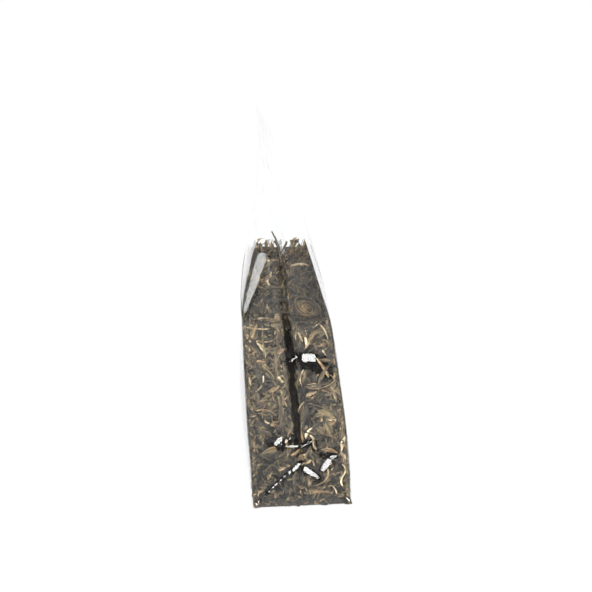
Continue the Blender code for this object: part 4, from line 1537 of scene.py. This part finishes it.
MARKS = (
    Mark(23.4, 42.0, 11.6, 3.4, -100.0, 0.97, "hooked_strip", -1.4),
    Mark(24.2, 33.4, 11.0, 3.0, -62.0, 0.96, "twisted_leaf", 0.8),
    Mark(13.8, 21.6, 9.0, 1.2, -104.0, 0.86, "stem", 1.2),
    Mark(8.0, 15.8, 10.4, 1.1, 16.0, 0.85, "stem", -1.0),
    Mark(-24.4, 106.2, 13.0, 2.7, -62.0, 0.98, "hooked_strip", 1.8),
    Mark(-23.8, 99.4, 5.6, 3.2, 2.0, 0.77, "torn_flake"),
    Mark(-12.4, 105.6, 4.8, 3.6, 30.0, 0.88, "bud"),
    Mark(-4.8, 105.8, 3.4, 1.1, 40.0, 0.98, "hooked_strip", 0.9),
    Mark(12.0, 104.0, 4.4, 1.3, -62.0, 0.97, "bud"),
    Mark(6.4, 115.0, 15.6, 3.4, 48.0, 0.745, "twisted_leaf", 0.8),
    Mark(2.6, 108.8, 5.0, 2.2, 55.0, 0.79, "torn_flake"),
    Mark(-1.4, 114.4, 6.4, 1.7, -66.0, 0.94, "ragged_strip"),
    Mark(1.6, 111.4, 5.2, 1.7, -80.0, 0.93, "broken_flake"),
    Mark(11.2, 94.4, 13.0, 2.3, -60.0, 0.88, "ragged_strip", 0.6),
    Mark(14.0, 90.0, 4.0, 1.8, -70.0, 0.93, "broken_flake"),
    Mark(4.2, 77.6, 8.4, 2.5, 24.0, 0.84, "folded_leaf"),
    Mark(-16.0, 82.0, 7.6, 2.6, 34.0, 0.82, "folded_leaf"),
    Mark(-5.6, 77.6, 11.0, 1.2, 35.0, 0.83, "stem", 0.5),
    Mark(-10.8, 75.2, 12.4, 1.3, -72.0, 0.86, "tight_twist"),
    Mark(14.6, 56.8, 18.4, 3.2, 35.0, 0.785, "folded_leaf", -0.6),
    Mark(4.6, 51.4, 9.6, 2.3, 58.0, 0.95, "hooked_strip", 1.0),
    Mark(14.2, 63.2, 12.4, 6.8, -34.0, 0.64, "broad_leaf"),
    Mark(-0.8, 68.0, 10.0, 1.1, 70.0, 0.84, "stem", 0.8),
    Mark(10.8, 83.6, 15.4, 1.0, 16.0, 0.82, "stem", -2.0),
    Mark(16.4, 78.0, 12.0, 1.0, -22.0, 0.80, "stem", 1.6),
    Mark(22.6, 52.0, 11.4, 2.5, 88.0, 0.70, "flat_strip"),
    Mark(23.4, 66.0, 20.0, 2.2, -80.0, 0.80, "ragged_strip"),
    Mark(7.6, 10.8, 8.6, 1.9, -5.0, 0.77, "flat_strip"),
    Mark(-24.0, 12.2, 3.8, 2.4, 30.0, 0.82, "broken_flake"),
    Mark(-16.2, 10.0, 5.8, 2.0, -80.0, 0.80, "wedge"),
    Mark(-12.0, 27.6, 4.8, 2.4, 20.0, 0.84, "broken_flake"),
    Mark(3.6, 17.8, 5.4, 2.0, -74.0, 0.88, "wedge"),
    Mark(18.8, 11.2, 6.4, 1.1, -64.0, 0.96, "stem", 0.6),
    Mark(22.4, 20.8, 4.4, 1.3, 66.0, 0.97, "hooked_strip", -0.8),
    Mark(-3.2, 37.4, 7.4, 3.0, 18.0, 0.78, "folded_leaf"),
    Mark(-0.8, 34.6, 6.4, 1.5, 42.0, 0.86, "ragged_strip"),
    Mark(-27.0, 117.4, 12.0, 4.6, 72.0, 0.67, "broad_leaf"),
    Mark(-26.0, 121.4, 15.0, 1.1, -8.0, 0.90, "stem", -0.8),
    Mark(-20.6, 66.0, 12.0, 1.0, -20.0, 0.80, "stem", 2.4),
    Mark(-21.0, 60.6, 4.6, 1.8, -30.0, 0.90, "broken_flake"),
    Mark(-25.4, 88.0, 16.0, 4.4, -70.0, 0.30, "broad_leaf", 2.0),
    Mark(-19.4, 90.4, 14.0, 1.2, -58.0, 0.66, "stem", 2.2),
    Mark(-23.0, 71.0, 13.0, 3.4, 30.0, 0.44, "twisted_leaf", 1.0),
    Mark(16.0, 98.0, 13.0, 4.0, -62.0, 0.34, "broad_leaf", 1.4),
    Mark(-14.8, 95.6, 22.0, 4.6, -88.0, 0.50, "flat_strip"),
    Mark(-9.6, 92.0, 26.0, 3.4, -84.0, 0.42, "flat_strip"),
    Mark(-12.0, 62.0, 18.0, 4.0, -84.0, 0.46, "flat_strip"),
)


# The rolled leaf: place, turn, and rings as (radius mm, tone) from the outside in
COIL_SPOT = (0.45, 0.90)
COIL_SIZE = 0.8
COIL_SINK = (1.2, 0.3, 0.7, 1.4, 1.0, 0.5)  # how deep each ring lies, mm
TOP_COIL = (3.0, -41.5, 129.0)  # middle of the coil on the heap, mm
TOP_COIL_LEAN = 0.5
TOP_COIL_SIZE = 1.42
COIL_TURN = -38.0
COIL_RINGS = ((5.2, 0.60), (4.5, 0.44), (3.8, 0.66), (3.1, 0.50), (2.1, 0.68), (1.0, 0.55))
COIL_THICK = 0.62
COIL_STEP = 0.22
COIL_SQUASH = 0.62
COIL_ROOM = 6.0  # leaves nearer to it than this, in mm, lie deeper
COIL_DEPTH = 2.0


@dataclass(frozen=True)
class Litter:
    """How many leaves of which size a wall gets in one layer.

    Attributes:
        count: How many.
        length: Least and most length, mm.
        width: Least and most width, mm.
        depth: Least and most depth from the film, mm.
        tones: Least and most tone of most leaves.
        pale: Share of leaves that are pale.
        patterns: Names of the patterns used.
    """

    count: int
    length: tuple[float, float]
    width: tuple[float, float]
    depth: tuple[float, float]
    tones: tuple[float, float]
    pale: float
    patterns: tuple[str, ...]


BIG = ("flat_strip", "ragged_strip", "twisted_leaf", "folded_leaf", "broad_leaf",
       "hooked_strip")
SMALL = ("ragged_strip", "tight_twist", "broken_flake", "torn_flake", "hooked_strip")
THIN = ("stem", "tight_twist")


@dataclass
class TeaFill:
    """The tea: core, litter of leaves on every side, and the leaves that stand out."""

    form: BagForm = FORM
    seed: int = 5
    shapes: dict[str, tuple[np.ndarray, list]] = field(default_factory=dict)
    chance: np.random.Generator = field(default_factory=lambda: np.random.default_rng(5))

    def prepare(self) -> None:
        """Models every pattern once."""
        self.chance = np.random.default_rng(self.seed)
        self.shapes = {pattern.name: pattern.model() for pattern in PATTERNS}

    def directions(self, wall: Wall, across: np.ndarray, up: np.ndarray) -> np.ndarray:
        """Directions of leaves: along the crease beside it, any elsewhere."""
        chance = self.chance
        angle = chance.uniform(0.0, math.pi, len(up))
        if wall.name.startswith("top") or wall.name == "rim":
            return math.pi / 2 + chance.normal(0.0, 0.35, len(up))
        if wall.name.startswith(("near", "far")):
            edge = wall.high(up) if wall.name.endswith("front") else wall.low(up)
            close = np.clip(1 - np.abs(across - edge) / 0.009, 0.0, 1.0)
            upright = math.pi / 2 + chance.normal(0.0, 0.16, len(up))
            angle = np.where(chance.uniform(0, 1, len(up)) < close, upright, angle)
        return angle

    def scatter(self, heap: LeafHeap, wall: Wall, litter: Litter) -> None:
        """Lays one layer of leaves on a wall.

        Args:
            heap: Takes the leaves.
            wall: Where they lie.
            litter: How many, and of which size.
        """
        chance = self.chance
        share = max(1, litter.count // len(litter.patterns))
        for name in litter.patterns:
            up = chance.uniform(wall.foot, wall.top, share)
            across = mix(wall.low(up), wall.high(up), chance.uniform(0, 1, share))
            low_down = (up < 0.035) & (not wall.name.startswith("top"))
            length = chance.uniform(*litter.length, share) * MM
            length = length * np.where(low_down, 0.62, 1.5 if wall.name.startswith("top") else 1.0)
            width = chance.uniform(*litter.width, share) * MM
            width = width * np.where(low_down, 0.8, 1.0) * (0.45 if name in THIN else 1.0)
            tone = chance.uniform(*litter.tones, share)
            pale = chance.uniform(0, 1, share) < litter.pale
            tone = np.where(pale, chance.uniform(0.6, 0.9, share), tone)
            depth = chance.uniform(*litter.depth, share) * MM
            if wall.name.startswith("near"):
                # Painted shade: leaves in and round the near dents are darkened.
                tone = tone * (1 - 0.95 * self.form.dent_painted_shade(across, up))
                spot = spot_on("near_back", *COIL_SPOT)
                apart = np.hypot(across - spot[0], up - spot[1]) - COIL_ROOM * MM
                depth = depth + np.where(apart < 0.0, COIL_DEPTH * MM, 0.0)
            lay_leaves(heap, wall, self.shapes[name], Lay(
                across=across, up=up, angle=self.directions(wall, across, up),
                length=length, width=width,
                thickness=width * chance.uniform(0.25, 0.5, share),
                depth=depth,
                bend=length * chance.uniform(-0.16, 0.16, share),
                wave=length * chance.uniform(-0.05, 0.05, share),
                ripple=chance.uniform(0.0, 0.0004, share), tone=tone,
                seed=chance.uniform(0, 1, share),
            ))

    def cover(self, name: str, walls: Sequence[Wall], share: float,
              finish: bpy.types.Material) -> bpy.types.Object:
        """Covers walls with three layers of leaves and makes them one piece.

        Args:
            name: Name of the piece.
            walls: What is covered.
            share: Multiplies the number of leaves.
            finish: Material of the leaves.

        Returns:
            The piece.
        """
        heap = LeafHeap()
        layers = (
            Litter(round(220 * share), (8, 17), (2.6, 5.0), (2.4, 4.6), (0.1, 0.56), 0.06, BIG),
            Litter(round(210 * share), (6, 15), (1.8, 4.2), (1.3, 2.6), (0.1, 0.66), 0.08, BIG),
            Litter(round(200 * share), (2.4, 7), (1.0, 2.4), (0.8, 2.0), (0.15, 0.75), 0.16,
                   SMALL),
            Litter(round(130 * share), (5, 13), (1.2, 2.6), (0.7, 1.6), (0.35, 0.72), 0.15,
                   THIN),
            Litter(round(70 * share), (6, 14), (1.8, 3.8), (0.6, 1.1), (0.1, 0.6), 0.08, BIG),
            Litter(round(70 * share), (4, 10), (1.0, 1.9), (0.5, 0.9), (0.45, 0.78), 0.15, THIN),
        )
        for litter in layers:
            for wall in walls:
                self.scatter(heap, wall, litter)
        if name.startswith("top"):
            self.line_groove(heap)
        if name.startswith("near"):
            for wall in walls:
                self.trim_edge(heap, wall)
            for mark in MARKS:
                middle = float(self.form.gusset(np.array(mark.z * MM), NEAR)[1])
                wall = walls[mark.x * MM > middle]
                lay_leaves(heap, wall, self.shapes[mark.pattern], mark.lay())
        piece = heap.to_piece(name)
        return settle(piece, name, finish, ())

    def line_groove(self, heap: LeafHeap) -> None:
        """Lays strips of leaf along the groove over the heap, deep in it.

        Args:
            heap: Takes the leaves.
        """
        chance = self.chance
        wall = heap_wall()
        count = 26
        for name in THIN + ("flat_strip",):
            up = chance.uniform(wall.foot, wall.top, count)
            share = (up + self.form.half_width) / self.form.base_width
            rim = np.array(self.form.fill_height)
            ends = [float(self.form.gusset(rim, end)[1]) for end in (NEAR, FAR)]
            across = mix(ends[0], ends[1], share) + chance.uniform(-0.0016, 0.0016, count)
            width = chance.uniform(1.0, 2.2, count) * MM
            lay_leaves(heap, wall, self.shapes[name], Lay(
                across=across, up=up, angle=math.pi / 2 + chance.normal(0.0, 0.12, count),
                length=chance.uniform(8.0, 20.0, count) * MM, width=width,
                thickness=width * 0.4, depth=chance.uniform(1.6, 3.4, count) * MM,
                bend=0.0 * up, wave=0.0 * up, ripple=0.0002 + 0.0 * up,
                tone=chance.uniform(0.2, 0.68, count), seed=chance.uniform(0, 1, count),
            ))

    def trim_edge(self, heap: LeafHeap, wall: Wall) -> None:
        """Lays small broken leaves along a gusset half's outer edge.

        Args:
            heap: Takes the leaves.
            wall: The gusset half.
        """
        chance = self.chance
        count = 45
        for name in SMALL:
            up = chance.uniform(wall.foot, wall.top, count)
            room = chance.uniform(0.0002, 0.0028, count)
            front = wall.name.endswith("front")
            across = wall.low(up) + room if front else wall.high(up) - room
            length = chance.uniform(2.0, 6.0, count) * MM
            width = chance.uniform(0.8, 1.7, count) * MM
            lay_leaves(heap, wall, self.shapes[name], Lay(
                across=across, up=up, angle=math.pi / 2 + chance.normal(0.0, 0.7, count),
                length=length, width=width, thickness=width * 0.4,
                depth=chance.uniform(0.45, 0.8, count) * MM, bend=0.0 * up, wave=0.0 * up,
                ripple=0.0 * up, tone=chance.uniform(0.2, 0.84, count),
                seed=chance.uniform(0, 1, count),
            ))

    def make_core(self, finish: bpy.types.Material) -> bpy.types.Object:
        """The dark mass behind the leaves, shaped from a drum.

        Args:
            finish: Its material.

        Returns:
            The piece.
        """
        form = self.form
        sides, rows = 96, 40
        clear_selection()
        bpy.ops.mesh.primitive_grid_add(x_subdivisions=sides, y_subdivisions=rows, size=1.0)
        piece = bpy.context.object
        foot, top = 0.0003, form.fill_height - form.leaf_layer - form.heap_rise
        for vertex in piece.data.vertices:
            turn = (vertex.co.x + 0.5) * math.tau
            z = mix(foot, top, vertex.co.y + 0.5)
            margin = mix(0.0012, 0.0042, float(smooth_step(np.array(z / 0.009))))
            y = math.sin(turn)
            x = math.cos(turn)
            reach = max(abs(x), abs(y))
            x, y = x / reach, y / reach
            py = y * (form.half_width - margin)
            share = np.array((py + form.half_width) / form.base_width)
            level = np.array(z)
            front = float(form.panel_x(level, share, False)) + margin
            back = float(form.panel_x(level, share, True)) - margin
            px = mix(front, back, (x + 1) / 2)
            if abs(y) > 0.999:
                end = NEAR if y < 0 else FAR
                spot, height = np.array(px), np.array(z)
                _, middle, _, _, depth = form.gusset(height, end)
                near_crease = max(0.0, 1 - abs(px - float(middle)) / 0.007)
                inward = float(depth) * near_crease * 1.1
                inward += float(form.dent_in(spot, height)) if end == NEAR else 0.0
                py -= math.copysign(inward, y)
            vertex.co = (px, py, z)
        bpy.ops.object.mode_set(mode="EDIT")
        bpy.ops.mesh.select_all(action="SELECT")
        bpy.ops.mesh.remove_doubles(threshold=1e-6)
        bpy.ops.mesh.select_all(action="DESELECT")
        bpy.ops.mesh.select_mode(type="EDGE")
        bpy.ops.mesh.select_non_manifold()
        bpy.ops.mesh.edge_face_add()
        bpy.ops.mesh.select_all(action="SELECT")
        bpy.ops.mesh.normals_make_consistent(inside=False)
        bpy.ops.object.mode_set(mode="OBJECT")
        shade_smooth(piece, 60.0)
        return settle(piece, "tea_core", finish, ("tea_bed",))

    def make(self) -> None:
        """Makes the core, the litter and the leaves that stand out."""
        self.prepare()
        leaf = LeafFinish().make()
        self.make_core(CoreFinish().make())
        near = (gusset_wall("near_front", NEAR, False, 0.012),
                gusset_wall("near_back", NEAR, True, 0.012))
        far = (gusset_wall("far_front", FAR, False), gusset_wall("far_back", FAR, True))
        front, back, top = panel_wall("front", False), panel_wall("back", True), heap_wall()
        sides = (heap_wall("top_front"), heap_wall("top_back"))
        walls = near + far + (front, back, top)
        self.cover("near_leaves", near, 1.0, leaf)
        self.cover("far_leaves", far, 0.6, leaf)
        self.cover("front_leaves", (front,), 2.4, leaf)
        self.cover("back_leaves", (back,), 2.4, leaf)
        self.cover("top_leaves", sides, 0.8, leaf)
        self.stand_rims(leaf)
        self.stand_leaves(leaf)
        self.make_named(leaf, {wall.name: wall for wall in walls})

    def stand_rims(self, finish: bpy.types.Material) -> None:
        """Leaves that stand up along the wide panels, and the coil that leans on the heap."""
        heap = LeafHeap()
        litters = (
            Litter(90, (5, 11), (1.4, 3.4), (0.8, 4.0), (0.1, 0.7), 0.15, BIG),
            Litter(50, (5, 12), (0.8, 1.6), (0.8, 4.0), (0.2, 0.8), 0.2, THIN),
        )
        for side in (False, True):
            wall = panel_wall("panel_rim", side, 0.006, self.form.fill_height - 0.008)
            for litter in litters:
                self.scatter(heap, wall, litter)
        self.lean_coil(heap)
        settle(heap.to_piece("heap_edge_leaves"), "heap_edge_leaves", finish, ())

    def stand_leaves(self, finish: bpy.types.Material) -> None:
        """Leaves that stand up along the heap's far rim."""
        heap = LeafHeap()
        litters = (
            Litter(60, (5, 10), (1.2, 3.0), (0.8, 9.0), (0.3, 0.9), 0.3, BIG),
            Litter(50, (5, 12), (0.6, 1.3), (0.8, 9.0), (0.2, 0.8), 0.2, THIN),
        )
        for litter in litters:
            self.scatter(heap, rim_wall(), litter)
        settle(heap.to_piece("rim_leaves"), "rim_leaves", finish, ())

    def coil(self, heap: LeafHeap, size: float,
             place: Callable[[np.ndarray, np.ndarray, np.ndarray], np.ndarray]) -> None:
        """Adds a leaf that is rolled up to an oval coil, ring in ring.

        Args:
            heap: Takes the rings.
            size: Multiplies its size.
            place: Turns (across, up, out) on the coil into points.
        """
        turn = math.radians(COIL_TURN)
        for number, (reach, tone) in enumerate(COIL_RINGS):
            clear_selection()
            bpy.ops.mesh.primitive_torus_add(
                major_segments=40, minor_segments=8, major_radius=reach * MM * size,
                minor_radius=COIL_THICK * MM * size)
            ring = bpy.context.object
            points = np.array([v.co[:] for v in ring.data.vertices])
            faces = [tuple(p.vertices) for p in ring.data.polygons]
            bpy.data.objects.remove(ring, do_unlink=True)
            angle = np.arctan2(points[:, 1], points[:, 0])
            out = np.hypot(points[:, 0], points[:, 1]) - reach * MM * size
            wander = 1 + 0.07 * np.sin(angle * 3 + number * 2.2) + 0.05 * np.sin(angle * 2)
            a = points[:, 0] * wander + number * COIL_STEP * MM * size
            b = points[:, 1] * COIL_SQUASH * wander - number * COIL_STEP * MM * size / 2
            squeeze = 1.8 + 0.7 * np.sin(angle + number * 1.3)
            rise = points[:, 2] * squeeze - COIL_SINK[number] * MM * size
            placed = place(a * math.cos(turn) - b * math.sin(turn),
                           a * math.sin(turn) + b * math.cos(turn), rise)
            grain = np.stack([angle * reach * MM, out * 2 + points[:, 2],
                              np.full_like(out, number)], axis=-1)
            heap.take(placed, faces, grain, tone + 0.14 * np.sin(angle + 2.2 + number / 2))

    def make_coil(self, finish: bpy.types.Material, wall: Wall) -> None:
        """The rolled leaf among the leaves that stand out.

        Args:
            finish: Material of the leaves.
            wall: Where it lies.
        """
        heap = LeafHeap()
        spot = spot_on("near_back", *COIL_SPOT)

        def place(a: np.ndarray, b: np.ndarray, out: np.ndarray) -> np.ndarray:
            return wall.lay(spot[0] + a, spot[1] + b, CLEAR + 0.0012 - out)

        self.coil(heap, COIL_SIZE, place)
        settle(heap.to_piece("rolled_leaf_dressed"), "rolled_leaf_dressed", finish,
               ("rolled_leaf",))

    def lean_coil(self, heap: LeafHeap) -> None:
        """A large coil of the heap's top that leans back behind the near film."""
        middle = np.array(TOP_COIL) * MM
        back, up = math.sin(TOP_COIL_LEAN), math.cos(TOP_COIL_LEAN)

        def place(a: np.ndarray, b: np.ndarray, out: np.ndarray) -> np.ndarray:
            return np.stack([middle[0] + a, middle[1] + b * back - out * up,
                             middle[2] + b * up + out * back], axis=-1)

        self.coil(heap, TOP_COIL_SIZE, place)

    def make_named(self, finish: bpy.types.Material, walls: dict[str, Wall]) -> None:
        """Lays each leaf that stands out, as a piece of its own.

        Args:
            finish: Material of the leaves.
            walls: The walls by name.
        """
        fine = {pattern.name: pattern.model(fine=True) for pattern in PATTERNS}
        for number, leaf in enumerate(NAMED_LEAVES):
            heap = LeafHeap()
            wall = walls[leaf.face]
            lay_leaves(heap, wall, fine[leaf.pattern], leaf.lay(number))
            piece = heap.to_piece(leaf.name + "_dressed")
            settle(piece, piece.name, finish, (leaf.name,))
        self.make_coil(finish, walls["near_back"])
        self.finish_stem()


    def finish_stem(self) -> None:
        """Gives the forked stem on the heap, whose own solid shows, its look."""
        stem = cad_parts[FORKED_STEM]
        stem.data.materials.clear()
        stem.data.materials.append(StemFinish().make())
        LOG.info("%s: %d faces", FORKED_STEM, len(stem.data.polygons))


@dataclass
class Studio:
    """The floor, the soft lights and the camera."""

    floor_size: float = 30.0
    camera_pitch: float = 28.0
    camera_yaw: float = 4.35
    focal: float = 1530.0
    picture: float = 592.0
    sensor: float = 36.0
    axis_drop: float = 25.5

    def add_floor(self) -> None:
        """A wide white floor."""
        clear_selection()
        bpy.ops.mesh.primitive_plane_add(size=self.floor_size, location=(0, 0, -0.0002))
        floor = bpy.context.object
        floor.name = "studio_floor"
        floor.data.materials.append(StageFinish().make())

    def add_softbox(self, lamp: Lamp, size: tuple[float, float], watts: float) -> None:
        """Adds a soft area light that points at the bag.

        Args:
            lamp: Where it hangs.
            size: Its width and height.
            watts: Its power.
        """
        light = bpy.data.lights.new(lamp.name.lower() + "_softbox", "AREA")
        light.shape = "RECTANGLE"
        light.size, light.size_y = size
        light.energy = watts
        thing = bpy.data.objects.new(light.name, light)
        bpy.context.scene.collection.objects.link(thing)
        thing.location = lamp.place
        thing.rotation_euler = (LAMP_TARGET - lamp.place).to_track_quat("-Z", "Y").to_euler()
        thing.visible_camera = False

    def add_lights(self) -> None:
        """Softboxes before, beside and behind the bag."""
        self.add_softbox(Lamp.KEY, (0.46, 0.30), 9.6)
        self.add_softbox(Lamp.TOP, (0.60, 0.50), 10.0)
        self.add_softbox(Lamp.PALE, (0.50, 0.30), 5.8)
        self.add_softbox(Lamp.LEFT, (0.44, 0.32), 11.0)
        self.add_softbox(Lamp.RIGHT, (0.34, 0.34), 9.0)
        self.add_softbox(Lamp.REAR, (0.60, 0.40), 10.0)

    def set_world(self) -> None:
        """Pale round the horizon, dark overhead."""
        world = bpy.data.worlds.new("studio_air")
        bpy.context.scene.world = world
        world.use_nodes = True
        tree = world.node_tree
        tree.nodes.clear()
        place = tree.nodes.new("ShaderNodeTexCoord")
        split = tree.nodes.new("ShaderNodeSeparateXYZ")
        ramp = tree.nodes.new("ShaderNodeValToRGB")
        sky = tree.nodes.new("ShaderNodeBackground")
        out = tree.nodes.new("ShaderNodeOutputWorld")
        tree.links.new(place.outputs["Generated"], split.inputs[0])
        tree.links.new(split.outputs["Z"], ramp.inputs["Fac"])
        tree.links.new(ramp.outputs["Color"], sky.inputs["Color"])
        tree.links.new(sky.outputs[0], out.inputs["Surface"])
        ramp.color_ramp.elements[0].position = 0.22
        ramp.color_ramp.elements[0].color = (1.0, 1.0, 1.0, 1.0)
        ramp.color_ramp.elements[1].position = 0.34
        ramp.color_ramp.elements[1].color = (0.02, 0.02, 0.022, 1.0)
        sky.inputs["Strength"].default_value = 1.1

    def add_camera(self) -> None:
        """The camera, at the photograph's place and angle."""
        lens = bpy.data.cameras.new("photo_camera")
        lens.sensor_width = self.sensor
        lens.lens = self.focal / self.picture * self.sensor
        lens.shift_y = self.axis_drop / self.picture
        lens.clip_start = 0.01
        thing = bpy.data.objects.new("photo_camera", lens)
        bpy.context.scene.collection.objects.link(thing)
        thing.location = CAMERA_PLACE
        thing.rotation_euler = (math.radians(90 - self.camera_pitch), 0.0,
                                -math.radians(self.camera_yaw))
        bpy.context.scene.camera = thing

    def make(self) -> None:
        """Sets up the studio."""
        self.add_camera()
        self.add_floor()
        self.add_lights()
        self.set_world()
        bpy.context.scene.view_settings.view_transform = "Standard"
        bpy.context.scene.cycles.transparent_max_bounces = 32


def main() -> None:
    """Builds the studio, the film and the tea."""
    logging.basicConfig(level=logging.INFO, format="%(name)s: %(message)s")
    Studio().make()
    TeaFill().make()
    FilmBag().make(FilmFinish().make())


if __name__ == "__main__":
    main()
